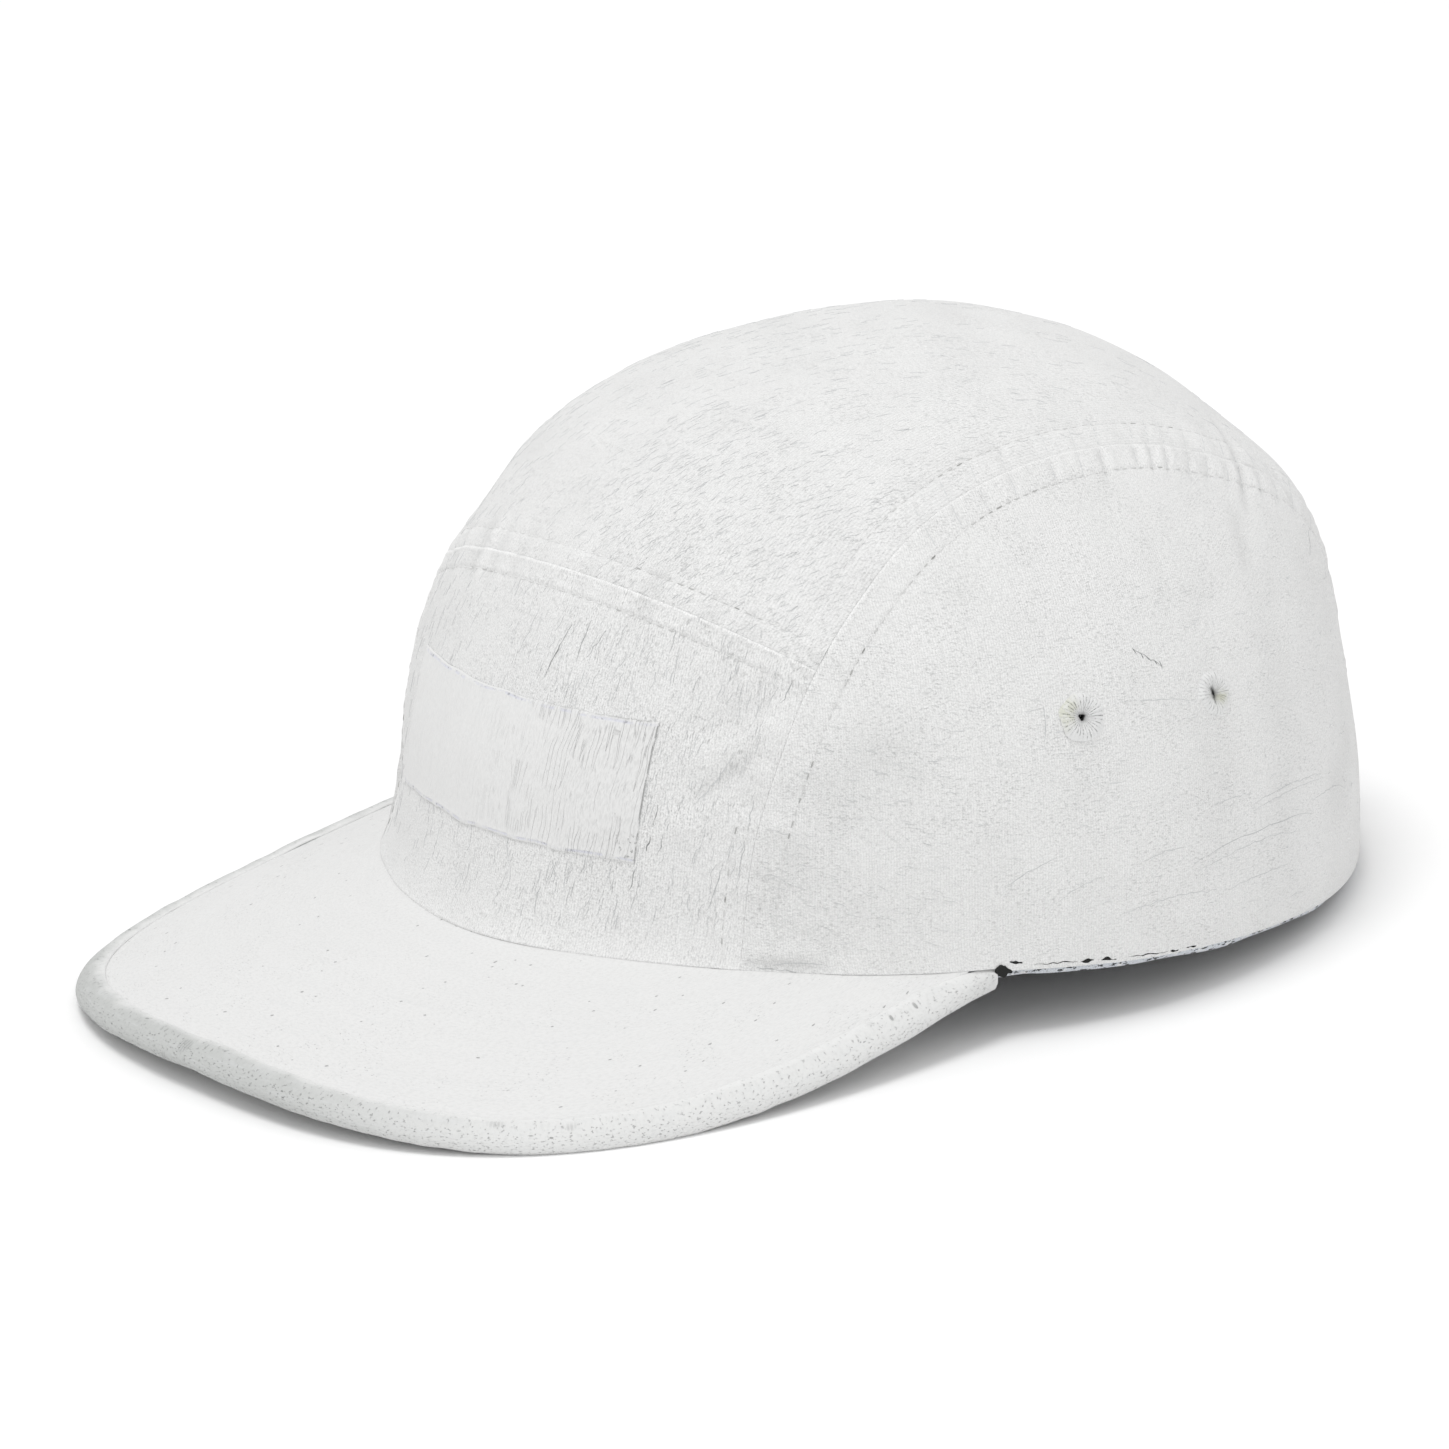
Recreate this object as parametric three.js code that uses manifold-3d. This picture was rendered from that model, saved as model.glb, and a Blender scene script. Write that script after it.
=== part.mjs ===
// A five-panel camp cap, in millimetres: +Z up, the peak towards -Y, the wearer's left towards +X.
// It rests on a flat surface, on the two front corners of its peak and on the back of its rim.
// Everything is first laid out level, on the plane of the rim, with the middle of the head at the
// origin, and the whole cap is then tipped back to where it comes to rest.

import * as THREE from 'three';
import { mergeVertices } from 'three/addons/utils/BufferGeometryUtils.js';
import Module from 'manifold-3d';

// Crown: half-lengths of the level rim, and the dome's height over it
const RIM_FRONT = 94.5;
const RIM_BACK = 100.1;
const RIM_SIDE = 90.9;
const DOME_HEIGHT = 102.8;
const DOME_SHIFT = 9.9; // how far back the top of the dome sits

// How the crown closes in towards its top on each side: draw is how fast, rise how square-shouldered
// the profile is, and lean how much the wall tips inwards
const PROFILE = {
  front: { draw: 0.658, rise: 0.862, lean: 0.033 },
  side: { draw: 1.012, rise: 0.721, lean: 0.078 },
  back: { draw: 1.104, rise: 0.779, lean: 0.027 },
};
const TOP_EASE = 8; // power with which all sides become alike at the top of the dome

// Exponents of the plan's curve, which is narrow in front at the rim and squarer higher up
const PLAN = {
  front: { rim: 1.736, top: 2.277 },
  back: { rim: 1.984, top: 2.339 },
};
const PLAN_BLEND = 0.5; // cosine of the direction where the front exponent ends
const PLAN_ROUND = 0.2; // share of the half-lengths over which the plan's ends are rounded

// Foot of the front: the cloth kicks out where it is sewn to the peak
const FOOT_FLARE = 3.6;
const FOOT_FLARE_HEIGHT = 6;

// Swellings and hollows of the cloth. around is the direction from the front towards the wearer's
// left, in degrees; height, wide and tall place and size each one; out is how far it stands proud.
const RELIEF = [
  { name: 'shoulder_left', around: 147, height: 69, wide: 20, tall: 13, out: 1.8 },
  { name: 'shoulder_right', around: -147, height: 69, wide: 20, tall: 13, out: 1.8 },
  { name: 'quarter_left', around: 140, height: 36, wide: 30, tall: 20, out: -1.9 },
  { name: 'quarter_right', around: -140, height: 36, wide: 30, tall: 20, out: -1.9 },
  { name: 'seam_dip_left', around: 43, height: 65, wide: 16, tall: 9, out: -1 },
  { name: 'seam_dip_right', around: -43, height: 65, wide: 16, tall: 9, out: -1.2 },
  { name: 'foot_dip_right', around: -35, height: 14, wide: 16, tall: 9, out: -0.7 },
  { name: 'front_fold', around: 33, height: 37, wide: 5, tall: 16, out: -0.8 },
  { name: 'front_corner_left', around: 39, height: 38, wide: 12, tall: 12, out: 0.5 },
  { name: 'front_corner_right', around: -39, height: 38, wide: 16, tall: 12, out: 0.5 },
  { name: 'shoulder_crease_left', around: 138, height: 80, wide: 4, tall: 12, out: -1 },
];
const RELIEF_DEPTH = 30; // a swelling fades out over this distance through the crown

// Side seams: out is the distance from the middle of the cap, turn the angle over the head from the
// front foot at 0 degrees to the back foot at 180
const SIDE_SEAM = [
  { turn: 0, out: 51 },
  { turn: 15, out: 51.6 },
  { turn: 30, out: 53.3 },
  { turn: 50, out: 54.1 },
  { turn: 70, out: 53.3 },
  { turn: 95, out: 53 },
  { turn: 115, out: 53.4 },
  { turn: 130, out: 50 },
  { turn: 150, out: 48.5 },
  { turn: 180, out: 46 },
];

// Cross seam between front and top panels
const CROSS_SEAM_HEIGHT = 63.7;
const CROSS_SEAM_DROP = 9.6; // lower at the side seams
const CROSS_SEAM_SIDE = 38; // direction of the side seams there, in degrees
const CROSS_SEAM_POWER = 2.1;

// Cloth, and the gap left between neighbouring pieces
const CLOTH = 1.2;
const GAP = 0.3;

// Peak
const PEAK_CORNER = 64.2; // direction of the peak's ends on the rim, in degrees
const PEAK_REACH = 118.2; // from the line through its ends to its front
const PEAK_SQUARE_SIDE = 2.87;
const PEAK_SQUARE_FRONT = 2.28;
const PEAK_BULGE = 8.2;
const PEAK_SLOPE = 0.242;
const PEAK_ARCH = 11.8;
const PEAK_ARCH_POWER = 2.4;
const PEAK_BOARD = 3;
const PEAK_BOARD_START = 2.5; // width of the board where it starts beside the rim

// Rolled edge of the peak: in is measured inwards from the outline, up from the board's top
const EDGE_WIDTH = 5.5;
const EDGE_END_WIDTH = 2.4;
const EDGE_TAPER = 16; // length over which the edge narrows towards the peak's ends
const EDGE_SECTION = [
  { in: 1, up: 0.1 },
  { in: 0.8, up: 0.65 },
  { in: 0.45, up: 0.75 },
  { in: 0.15, up: 0.1 },
  { in: 0, up: -1.2 },
  { in: 0.05, up: -2.4 },
  { in: 0.3, up: -3.6 },
  { in: 0.75, up: -3.6 },
  { in: 1, up: -3.1 },
];

// Patch on the front panel
const PATCH_LEFT = 33.5;
const PATCH_RIGHT = -36.5;
const PATCH_FOOT = 16;
const PATCH_TOP = 41.4;
const PATCH_THICKNESS = 1;

// Sweatband inside the rim
const BAND_HEIGHT = 30;
const BAND_THICKNESS = 1.4;
const BAND_SHOWS = 1.6; // how far it hangs below the rim
const BAND_BEHIND_PEAK = 3.4; // the same where the peak's board covers it
const BAND_CHANGE = 4; // degrees on each side of the peak's ends over which that changes
const BAND_END = 150.5; // direction of its ends, in degrees

// Closure at the back: an arched opening crossed by a strap with one plain buckle
const ARCH_HALF_WIDTH = 36;
const ARCH_HEIGHT = 42;
const STRAP_END = 152.5; // direction of its ends, in degrees
const STRAP_FOOT = 3.5;
const STRAP_WIDTH = 20;
const STRAP_THICKNESS = 1.2;
const BUCKLE_AROUND = 171; // direction of the buckle, in degrees
const BUCKLE_LENGTH = 12;
const BUCKLE_HEIGHT = 24;
const BUCKLE_DEPTH = 5;
const BUCKLE_SLOT_DEPTH = 2.6;
const BUCKLE_ROUND = 1;
const BUCKLE_SLOT_ROUND = 0.3;

// Eyelets, two on each side
const EYELETS = [
  { name: 'eyelet_left_front', around: 74.5, height: 44.6 },
  { name: 'eyelet_left_rear', around: 95.5, height: 45.4 },
  { name: 'eyelet_right_front', around: -74.5, height: 44.6 },
  { name: 'eyelet_right_rear', around: -95.5, height: 45.4 },
];
const EYELET_RADIUS = 4.6;
const EYELET_HOLE = 1.3;
const EYELET_RISE = 1;

// Section of an eyelet's ring: out is measured from its hole's wall to its outer edge, up as a
// share of its rise
const EYELET_SECTION = [
  { out: 0, up: 0 },
  { out: 1, up: 0 },
  { out: 0.88, up: 0.6 },
  { out: 0.47, up: 1 },
  { out: 0.16, up: 0.8 },
];

// How far the cloth is pressed flat where it rests
const REST_PRESS = 0.5;

// Fineness of the faces
const SEAM_STEPS_FRONT = 10;
const SEAM_STEPS_TOP = 30;
const FRONT_COLUMNS = 18;
const TOP_COLUMNS = 16;
const SIDE_COLUMNS = 16;
const PATCH_COLUMNS = 14;
const PATCH_ROWS = 5;
const PEAK_STEPS = 60;
const PEAK_COLUMNS = 4;
const BAND_STEPS = 64;
const BAND_ROWS = 4;
const STRAP_STEPS = 16;
const ARCH_STEPS = 24;
const ROUND_STEPS = 16;
const SAME_POINT = 1e-4; // points closer than this are one

// Lengths that are only longer than what they pass through
const HEAD_REACH = 200;
const CUT_REACH = 130;

const CLOTH_COLOUR = 0xf0f0f1;
const BAND_COLOUR = 0x8f969c;
const BUCKLE_COLOUR = 0xe4e5e6;

const radians = THREE.MathUtils.degToRad;
const lerp = THREE.MathUtils.lerp;
const clamp = THREE.MathUtils.clamp;
const UP = new THREE.Vector3(0, 0, 1);

// Crown surface

// A value that changes from front through side to back, in the direction around
function quarterValue(key, around) {
  const sideways = Math.sin(around) ** 2;
  const end = Math.cos(around) > 0 ? PROFILE.front : PROFILE.back;
  return PROFILE.side[key] * sideways + end[key] * (1 - sideways);
}

function smooth(share) {
  const s = clamp(share, 0, 1);
  return s * s * (3 - 2 * s);
}

// Radius of the plan's rounded curve, found in a few Newton steps
function planRadius(around, level) {
  const front = lerp(PLAN.front.rim, PLAN.front.top, level);
  const back = lerp(PLAN.back.rim, PLAN.back.top, level);
  const exponent = lerp(front, back, smooth(0.5 - 0.5 * Math.cos(around) / PLAN_BLEND));
  const length = Math.cos(around) > 0 ? RIM_FRONT : RIM_BACK;
  const [x, y] = [Math.sin(around) / RIM_SIDE, Math.cos(around) / length];
  const round = PLAN_ROUND ** 2;
  const term = (u) => (u * u + round) ** (exponent / 2);
  const slope = (u) => exponent * u * (u * u + round) ** (exponent / 2 - 1);
  const whole = (1 + round) ** (exponent / 2) + PLAN_ROUND ** exponent;
  let radius = (Math.abs(x) ** exponent + Math.abs(y) ** exponent) ** (-1 / exponent);
  for (let i = 0; i < 4; i++) {
    const excess = term(radius * x) + term(radius * y) - whole;
    radius -= excess / (slope(radius * x) * x + slope(radius * y) * y);
  }
  return radius;
}

function domeShift(height) {
  return DOME_SHIFT * clamp(height / DOME_HEIGHT, 0, 1) ** 2.5;
}

// Distance of the smooth crown from its axis at a height, in the direction around
function crownRadius(around, height) {
  if (height >= DOME_HEIGHT) return 0;
  const level = clamp(height / DOME_HEIGHT, 0, 1) ** (1 / quarterValue('rise', around));
  const draw = lerp(quarterValue('draw', around), 1, level ** TOP_EASE);
  const closing = Math.sqrt(1 - level * level) ** draw;
  return planRadius(around, level) * closing * (1 - quarterValue('lean', around) * level);
}

// Positive inside the smooth crown
function crownDepth(point) {
  const back = point.y - domeShift(point.z);
  return crownRadius(Math.atan2(point.x, -back), point.z) - Math.hypot(point.x, back);
}

function crownNormal(point) {
  const step = 0.05;
  const slope = ['x', 'y', 'z'].map((axis) => {
    const ahead = point.clone();
    const behind = point.clone();
    ahead[axis] += step;
    behind[axis] -= step;
    return crownDepth(behind) - crownDepth(ahead);
  });
  return new THREE.Vector3(...slope).normalize();
}

// Where a ray from inside the head meets the smooth crown
function meetCrown(start, direction) {
  let near = 0;
  let far = HEAD_REACH;
  for (let i = 0; i < 40; i++) {
    const middle = (near + far) / 2;
    const point = start.clone().addScaledVector(direction, middle);
    if (crownDepth(point) > 0) near = middle;
    else far = middle;
  }
  return start.clone().addScaledVector(direction, near);
}

function crownAt(around, height) {
  const radius = crownRadius(around, height);
  return new THREE.Vector3(
    radius * Math.sin(around),
    domeShift(height) - radius * Math.cos(around),
    height,
  );
}

function aroundOf(point) {
  return Math.atan2(point.x, domeShift(point.z) - point.y);
}

// Each swelling's own directions on the crown
const swellings = RELIEF.map((row) => {
  const centre = crownAt(radians(row.around), row.height);
  const normal = crownNormal(centre);
  const along = UP.clone().cross(normal).normalize();
  const rise = normal.clone().cross(along);
  return { ...row, centre, normal, along, rise };
});

function swelling(point) {
  let out = 0;
  for (const row of swellings) {
    const offset = point.clone().sub(row.centre);
    const across = offset.dot(row.along) / row.wide;
    const upwards = offset.dot(row.rise) / row.tall;
    const through = offset.dot(row.normal) / RELIEF_DEPTH;
    out += row.out * Math.exp(-across * across - upwards * upwards - through * through);
  }
  return out;
}

// Peak's top surface, and the rim that follows it

function flareAt(around) {
  return FOOT_FLARE * Math.max(Math.cos(around), 0);
}

function rimOutward(around) {
  const base = crownAt(around, 0);
  const outward = crownNormal(base).setZ(0).normalize();
  return { base, outward };
}

const peakEnd = (() => {
  const around = radians(PEAK_CORNER);
  const { base, outward } = rimOutward(around);
  return base.addScaledVector(outward, flareAt(around));
})();

function peakHeight(x, y) {
  const ahead = peakEnd.y - y;
  const across = Math.abs(x / peakEnd.x) ** PEAK_ARCH_POWER;
  return PEAK_ARCH * (1 - across) - PEAK_SLOPE * ahead;
}

// Lower edge of the crown's cloth, on the peak in front and level elsewhere
function rimPoint(around) {
  const { base, outward } = rimOutward(around);
  const point = base.addScaledVector(outward, flareAt(around));
  if (Math.abs(around) < radians(PEAK_CORNER)) {
    const inside = point.clone().addScaledVector(outward, -CLOTH);
    point.z = Math.max(peakHeight(point.x, point.y), peakHeight(inside.x, inside.y)) + GAP;
  }
  return { point, normal: outward };
}

// A point of the finished crown, with its swellings and the flare of its foot
function crownCloth(start, direction) {
  const base = meetCrown(start, direction);
  const normal = crownNormal(base);
  const around = aroundOf(base);
  const foot = Math.abs(around) < Math.PI / 2 ? rimPoint(around).point.z : 0;
  const flare = flareAt(around) * Math.exp(-(base.z - foot) / FOOT_FLARE_HEIGHT);
  const point = base.clone().addScaledVector(normal, swelling(base) + flare);
  return { point, normal };
}

const CENTRE = new THREE.Vector3(0, 0, 0);

// Seams

// Smooth curve through the rows of the side seam's table
function seamOut(turn) {
  const last = SIDE_SEAM.length - 1;
  let i = 0;
  while (i < last - 1 && SIDE_SEAM[i + 1].turn < turn) i++;
  const row = (k) => SIDE_SEAM[clamp(k, 0, last)];
  const [a, b] = [row(i), row(i + 1)];
  const share = (turn - a.turn) / (b.turn - a.turn);
  const slopeAt = (k) => {
    const [before, after] = [row(k - 1), row(k + 1)];
    return (after.out - before.out) / (after.turn - before.turn);
  };
  const width = b.turn - a.turn;
  const [s2, s3] = [share ** 2, share ** 3];
  return (2 * s3 - 3 * s2 + 1) * a.out + (s3 - 2 * s2 + share) * width * slopeAt(i)
    + (3 * s2 - 2 * s3) * b.out + (s3 - s2) * width * slopeAt(i + 1);
}

function sideSeam(turn) {
  const angle = radians(turn);
  const start = new THREE.Vector3(seamOut(turn), 0, 0);
  const direction = new THREE.Vector3(0, -Math.cos(angle), Math.sin(angle));
  if (turn > 0 && turn < 180) return crownCloth(start, direction);
  const foot = meetCrown(start, direction);
  return rimPoint(aroundOf(foot));
}

function crossSeamHeight(around) {
  const share = Math.abs(around) / radians(CROSS_SEAM_SIDE);
  return CROSS_SEAM_HEIGHT - CROSS_SEAM_DROP * share ** CROSS_SEAM_POWER;
}

// Turn at which the side seam meets the cross seam
const junctionTurn = (() => {
  let low = 10;
  let high = 80;
  for (let i = 0; i < 30; i++) {
    const middle = (low + high) / 2;
    const { point } = sideSeam(middle);
    if (point.z < crossSeamHeight(aroundOf(point))) low = middle;
    else high = middle;
  }
  return low;
})();

// The left side seam as stations from front foot to back foot. Each has the point on the crown, the
// normal there and the direction towards the middle of the cap, square to the seam.
const seamStations = (() => {
  const turns = [];
  for (let i = 0; i <= SEAM_STEPS_FRONT; i++) {
    turns.push(junctionTurn * i / SEAM_STEPS_FRONT);
  }
  for (let i = 1; i <= SEAM_STEPS_TOP; i++) {
    turns.push(lerp(junctionTurn, 180, i / SEAM_STEPS_TOP));
  }
  const stations = turns.map(sideSeam);
  return stations.map((station, i) => {
    const before = stations[Math.max(i - 1, 0)].point;
    const after = stations[Math.min(i + 1, stations.length - 1)].point;
    const along = after.clone().sub(before).normalize();
    const inwards = station.normal.clone().cross(along).normalize();
    if (inwards.x > 0) inwards.negate();
    return { ...station, inwards };
  });
})();

// The cross seam as stations from right to left
function crossStations(columns) {
  const junction = seamStations[SEAM_STEPS_FRONT];
  const end = aroundOf(junction.point);
  const stations = [];
  for (let i = 0; i <= columns; i++) {
    const around = lerp(-end, end, i / columns);
    const onSeam = crownAt(around, crossSeamHeight(around));
    const station = crownCloth(CENTRE, onSeam.normalize());
    if (i === 0 || i === columns) station.point = mirrored(junction.point, i === 0);
    stations.push(station);
  }
  return stations;
}

function mirrored(vector, flip) {
  return new THREE.Vector3(flip ? -vector.x : vector.x, vector.y, vector.z);
}

function mirroredStation(station) {
  return {
    point: mirrored(station.point, true),
    normal: mirrored(station.normal, true),
    inwards: mirrored(station.inwards, true),
  };
}

function shifted(station, direction, distance) {
  return {
    point: station.point.clone().addScaledVector(direction, distance),
    normal: station.normal,
  };
}

// Solids from grids of points

function solid(positions, triangles) {
  const loose = new THREE.BufferGeometry();
  loose.setAttribute('position', new THREE.Float32BufferAttribute(positions, 3));
  loose.setIndex(triangles);
  const merged = mergeVertices(loose, SAME_POINT);
  const index = merged.getIndex().array;
  const kept = [];
  for (let i = 0; i < index.length; i += 3) {
    const [a, b, c] = [index[i], index[i + 1], index[i + 2]];
    if (a !== b && b !== c && c !== a) kept.push(a, b, c);
  }
  merged.setIndex(kept);
  return facingOut(merged);
}

// Turns a closed geometry's faces outwards
function facingOut(geometry) {
  const index = geometry.getIndex().array;
  const position = geometry.getAttribute('position');
  const corner = [0, 1, 2].map(() => new THREE.Vector3());
  let volume = 0;
  for (let i = 0; i < index.length; i += 3) {
    corner.forEach((v, k) => v.fromBufferAttribute(position, index[i + k]));
    volume += corner[0].dot(corner[1].clone().cross(corner[2]));
  }
  if (volume < 0) {
    for (let i = 0; i < index.length; i += 3) {
      [index[i + 1], index[i + 2]] = [index[i + 2], index[i + 1]];
    }
  }
  geometry.computeVertexNormals();
  return geometry;
}

// A wall of cloth: the grid's points are its outer face, and it goes inwards by the thickness
function wall(grid, thickness) {
  const rows = grid.length;
  const columns = grid[0].length;
  const positions = [];
  for (const depth of [0, thickness]) {
    for (const { point, normal } of grid.flat()) {
      positions.push(...point.clone().addScaledVector(normal, -depth).toArray());
    }
  }
  const at = (layer, row, column) => (layer * rows + row) * columns + column;
  const triangles = [];
  const quad = (a, b, c, d) => triangles.push(a, b, c, a, c, d);
  for (let r = 0; r + 1 < rows; r++) {
    for (let c = 0; c + 1 < columns; c++) {
      quad(at(0, r, c), at(0, r, c + 1), at(0, r + 1, c + 1), at(0, r + 1, c));
      quad(at(1, r, c), at(1, r + 1, c), at(1, r + 1, c + 1), at(1, r, c + 1));
    }
  }
  for (let c = 0; c + 1 < columns; c++) {
    quad(at(1, 0, c), at(1, 0, c + 1), at(0, 0, c + 1), at(0, 0, c));
    quad(at(0, rows - 1, c), at(0, rows - 1, c + 1), at(1, rows - 1, c + 1), at(1, rows - 1, c));
  }
  for (let r = 0; r + 1 < rows; r++) {
    quad(at(0, r, 0), at(0, r + 1, 0), at(1, r + 1, 0), at(1, r, 0));
    quad(at(1, r, columns - 1), at(1, r + 1, columns - 1), at(0, r + 1, columns - 1), at(0, r, columns - 1));
  }
  return solid(positions, triangles);
}

// A solid swept through closed sections that all have the same number of points
function swept(sections) {
  const count = sections[0].length;
  const positions = sections.flat().flatMap((point) => point.toArray());
  const triangles = [];
  for (let s = 0; s + 1 < sections.length; s++) {
    for (let k = 0; k < count; k++) {
      const next = (k + 1) % count;
      const [a, b] = [s * count + k, s * count + next];
      triangles.push(a, b, b + count, a, b + count, a + count);
    }
  }
  const lastStart = (sections.length - 1) * count;
  for (let k = 1; k + 1 < count; k++) {
    triangles.push(0, k + 1, k);
    triangles.push(lastStart, lastStart + k, lastStart + k + 1);
  }
  return solid(positions, triangles);
}

// Joins the four edges of a patch of the crown smoothly and lays the result on the crown
function fillBetween(foot, head, first, last) {
  const rows = first.length;
  const columns = foot.length;
  const grid = [];
  for (let r = 0; r < rows; r++) {
    const v = r / (rows - 1);
    const row = [];
    for (let c = 0; c < columns; c++) {
      const u = c / (columns - 1);
      if (r === 0) row.push(foot[c]);
      else if (r === rows - 1) row.push(head[c]);
      else if (c === 0) row.push(first[r]);
      else if (c === columns - 1) row.push(last[r]);
      else {
        const guess = new THREE.Vector3()
          .addScaledVector(foot[c].point, 1 - v)
          .addScaledVector(head[c].point, v)
          .addScaledVector(first[r].point, 1 - u)
          .addScaledVector(last[r].point, u)
          .addScaledVector(foot[0].point, -(1 - u) * (1 - v))
          .addScaledVector(foot[columns - 1].point, -u * (1 - v))
          .addScaledVector(head[0].point, -(1 - u) * v)
          .addScaledVector(head[columns - 1].point, -u * v);
        row.push(crownCloth(CENTRE, guess.normalize()));
      }
    }
    grid.push(row);
  }
  return grid;
}

// Cuts one closed geometry out of another

const wasm = await Module();
wasm.setup();

function toManifold(geometry) {
  const plain = geometry.clone();
  plain.deleteAttribute('normal');
  plain.deleteAttribute('uv');
  const merged = mergeVertices(plain, SAME_POINT);
  return new wasm.Manifold(new wasm.Mesh({
    numProp: 3,
    vertProperties: new Float32Array(merged.getAttribute('position').array),
    triVerts: new Uint32Array(merged.getIndex().array),
  }));
}

function fromManifold(manifold) {
  const mesh = manifold.getMesh();
  return solid(Array.from(mesh.vertProperties), Array.from(mesh.triVerts));
}

function cutOut(geometry, tools) {
  let result = toManifold(geometry);
  for (const tool of tools) result = result.subtract(toManifold(tool));
  return fromManifold(result);
}

// Panels

function frontPanel() {
  const half = GAP / 2;
  const ends = seamStations.slice(0, SEAM_STEPS_FRONT + 1);
  const last = ends.map((station) => shifted(station, station.inwards, half));
  const first = ends.map(mirroredStation).map((station) => shifted(station, station.inwards, half));
  const footEnd = aroundOf(seamStations[0].point);
  const foot = [];
  for (let c = 0; c <= FRONT_COLUMNS; c++) {
    foot.push(rimPoint(lerp(-footEnd, footEnd, c / FRONT_COLUMNS)));
  }
  foot[0] = first[0];
  foot[FRONT_COLUMNS] = last[0];
  const down = new THREE.Vector3(0, 0, -1);
  const head = crossStations(FRONT_COLUMNS).map((station) => shifted(station, down, half));
  head[0] = shifted(first.at(-1), down, half);
  head[FRONT_COLUMNS] = shifted(last.at(-1), down, half);
  return wall(fillBetween(foot, head, first, last), CLOTH);
}

function archTool() {
  const spring = ARCH_HEIGHT - ARCH_HALF_WIDTH;
  const shape = new THREE.Shape();
  shape.moveTo(-ARCH_HALF_WIDTH, -ARCH_HALF_WIDTH);
  shape.lineTo(ARCH_HALF_WIDTH, -ARCH_HALF_WIDTH);
  shape.lineTo(ARCH_HALF_WIDTH, spring);
  shape.absarc(0, spring, ARCH_HALF_WIDTH, 0, Math.PI, false);
  const geometry = new THREE.ExtrudeGeometry(shape, {
    depth: CUT_REACH,
    bevelEnabled: false,
    curveSegments: ARCH_STEPS,
  });
  geometry.rotateX(Math.PI / 2);
  geometry.translate(0, CUT_REACH, 0);
  return geometry;
}

function topPanel() {
  const half = GAP / 2;
  const ends = seamStations.slice(SEAM_STEPS_FRONT);
  const last = ends.map((station) => shifted(station, station.inwards, half));
  const first = ends.map(mirroredStation).map((station) => shifted(station, station.inwards, half));
  const foot = crossStations(TOP_COLUMNS).map((station) => shifted(station, UP, half));
  foot[0] = shifted(first[0], UP, half);
  foot[TOP_COLUMNS] = shifted(last[0], UP, half);
  const backEnd = aroundOf(seamStations.at(-1).point);
  const head = [];
  for (let c = 0; c <= TOP_COLUMNS; c++) {
    head.push(rimPoint(lerp(2 * Math.PI - backEnd, backEnd, c / TOP_COLUMNS)));
  }
  head[0] = first.at(-1);
  head[TOP_COLUMNS] = last.at(-1);
  return cutOut(wall(fillBetween(foot, head, first, last), CLOTH), [archTool()]);
}

// Rows run from the front branch of the seam to its back branch, and close to a point at its top
function sidePanel(side) {
  const stations = seamStations
    .map((station) => shifted(station, station.inwards, -GAP / 2));
  const steps = stations.length - 1;
  const grid = [];
  for (let r = 0; r <= steps / 2; r++) {
    const front = stations[r];
    const back = stations[steps - r];
    const from = front.point.clone().normalize();
    const angle = from.angleTo(back.point);
    const axis = from.clone().cross(back.point).normalize();
    const row = [];
    for (let c = 0; c <= SIDE_COLUMNS; c++) {
      const share = c / SIDE_COLUMNS;
      if (c === 0) row.push(sideways(front, side));
      else if (c === SIDE_COLUMNS) row.push(sideways(back, side));
      else if (r === 0) {
        const around = lerp(aroundOf(front.point), aroundOf(back.point), share);
        row.push(rimPoint(side * around));
      } else if (r === steps / 2) row.push(sideways(front, side));
      else {
        const direction = from.clone().applyAxisAngle(axis, angle * share);
        row.push(crownCloth(CENTRE, mirrored(direction, side < 0)));
      }
    }
    grid.push(side < 0 ? row.reverse() : row);
  }
  const holes = EYELETS.filter((row) => Math.sign(row.around) === side).map(eyeletHole);
  return cutOut(wall(grid, CLOTH), holes);
}

function sideways(station, side) {
  if (side > 0) return station;
  return { point: mirrored(station.point, true), normal: mirrored(station.normal, true) };
}

// Eyelets

function eyeletSeat(row) {
  const onCrown = crownAt(radians(row.around), row.height);
  return crownCloth(CENTRE, onCrown.normalize());
}

function eyeletHole(row) {
  const { point, normal } = eyeletSeat(row);
  const depth = 2 * EYELET_RADIUS;
  const geometry = new THREE.CylinderGeometry(EYELET_HOLE, EYELET_HOLE, depth, ROUND_STEPS);
  geometry.applyQuaternion(outOfCloth(normal));
  geometry.translate(...point.toArray());
  return geometry;
}

// Turns what stands along Y so that it stands out of the cloth
function outOfCloth(normal) {
  return new THREE.Quaternion().setFromUnitVectors(new THREE.Vector3(0, 1, 0), normal);
}

function eyeletGeometry() {
  const profile = [...EYELET_SECTION, EYELET_SECTION[0]].map((row) => new THREE.Vector2(
    lerp(EYELET_HOLE, EYELET_RADIUS, row.out),
    GAP + row.up * EYELET_RISE,
  ));
  return fromManifold(toManifold(new THREE.LatheGeometry(profile, ROUND_STEPS)));
}

// Patch

function patchGeometry() {
  const grid = [];
  for (let r = 0; r <= PATCH_ROWS; r++) {
    const height = lerp(PATCH_FOOT, PATCH_TOP, r / PATCH_ROWS);
    const row = [];
    for (let c = 0; c <= PATCH_COLUMNS; c++) {
      const start = new THREE.Vector3(lerp(PATCH_RIGHT, PATCH_LEFT, c / PATCH_COLUMNS), 0, height);
      const seat = crownCloth(start, new THREE.Vector3(0, -1, 0));
      row.push(shifted(seat, seat.normal, GAP + PATCH_THICKNESS));
    }
    grid.push(row);
  }
  return wall(grid, PATCH_THICKNESS);
}

// Peak

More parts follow.
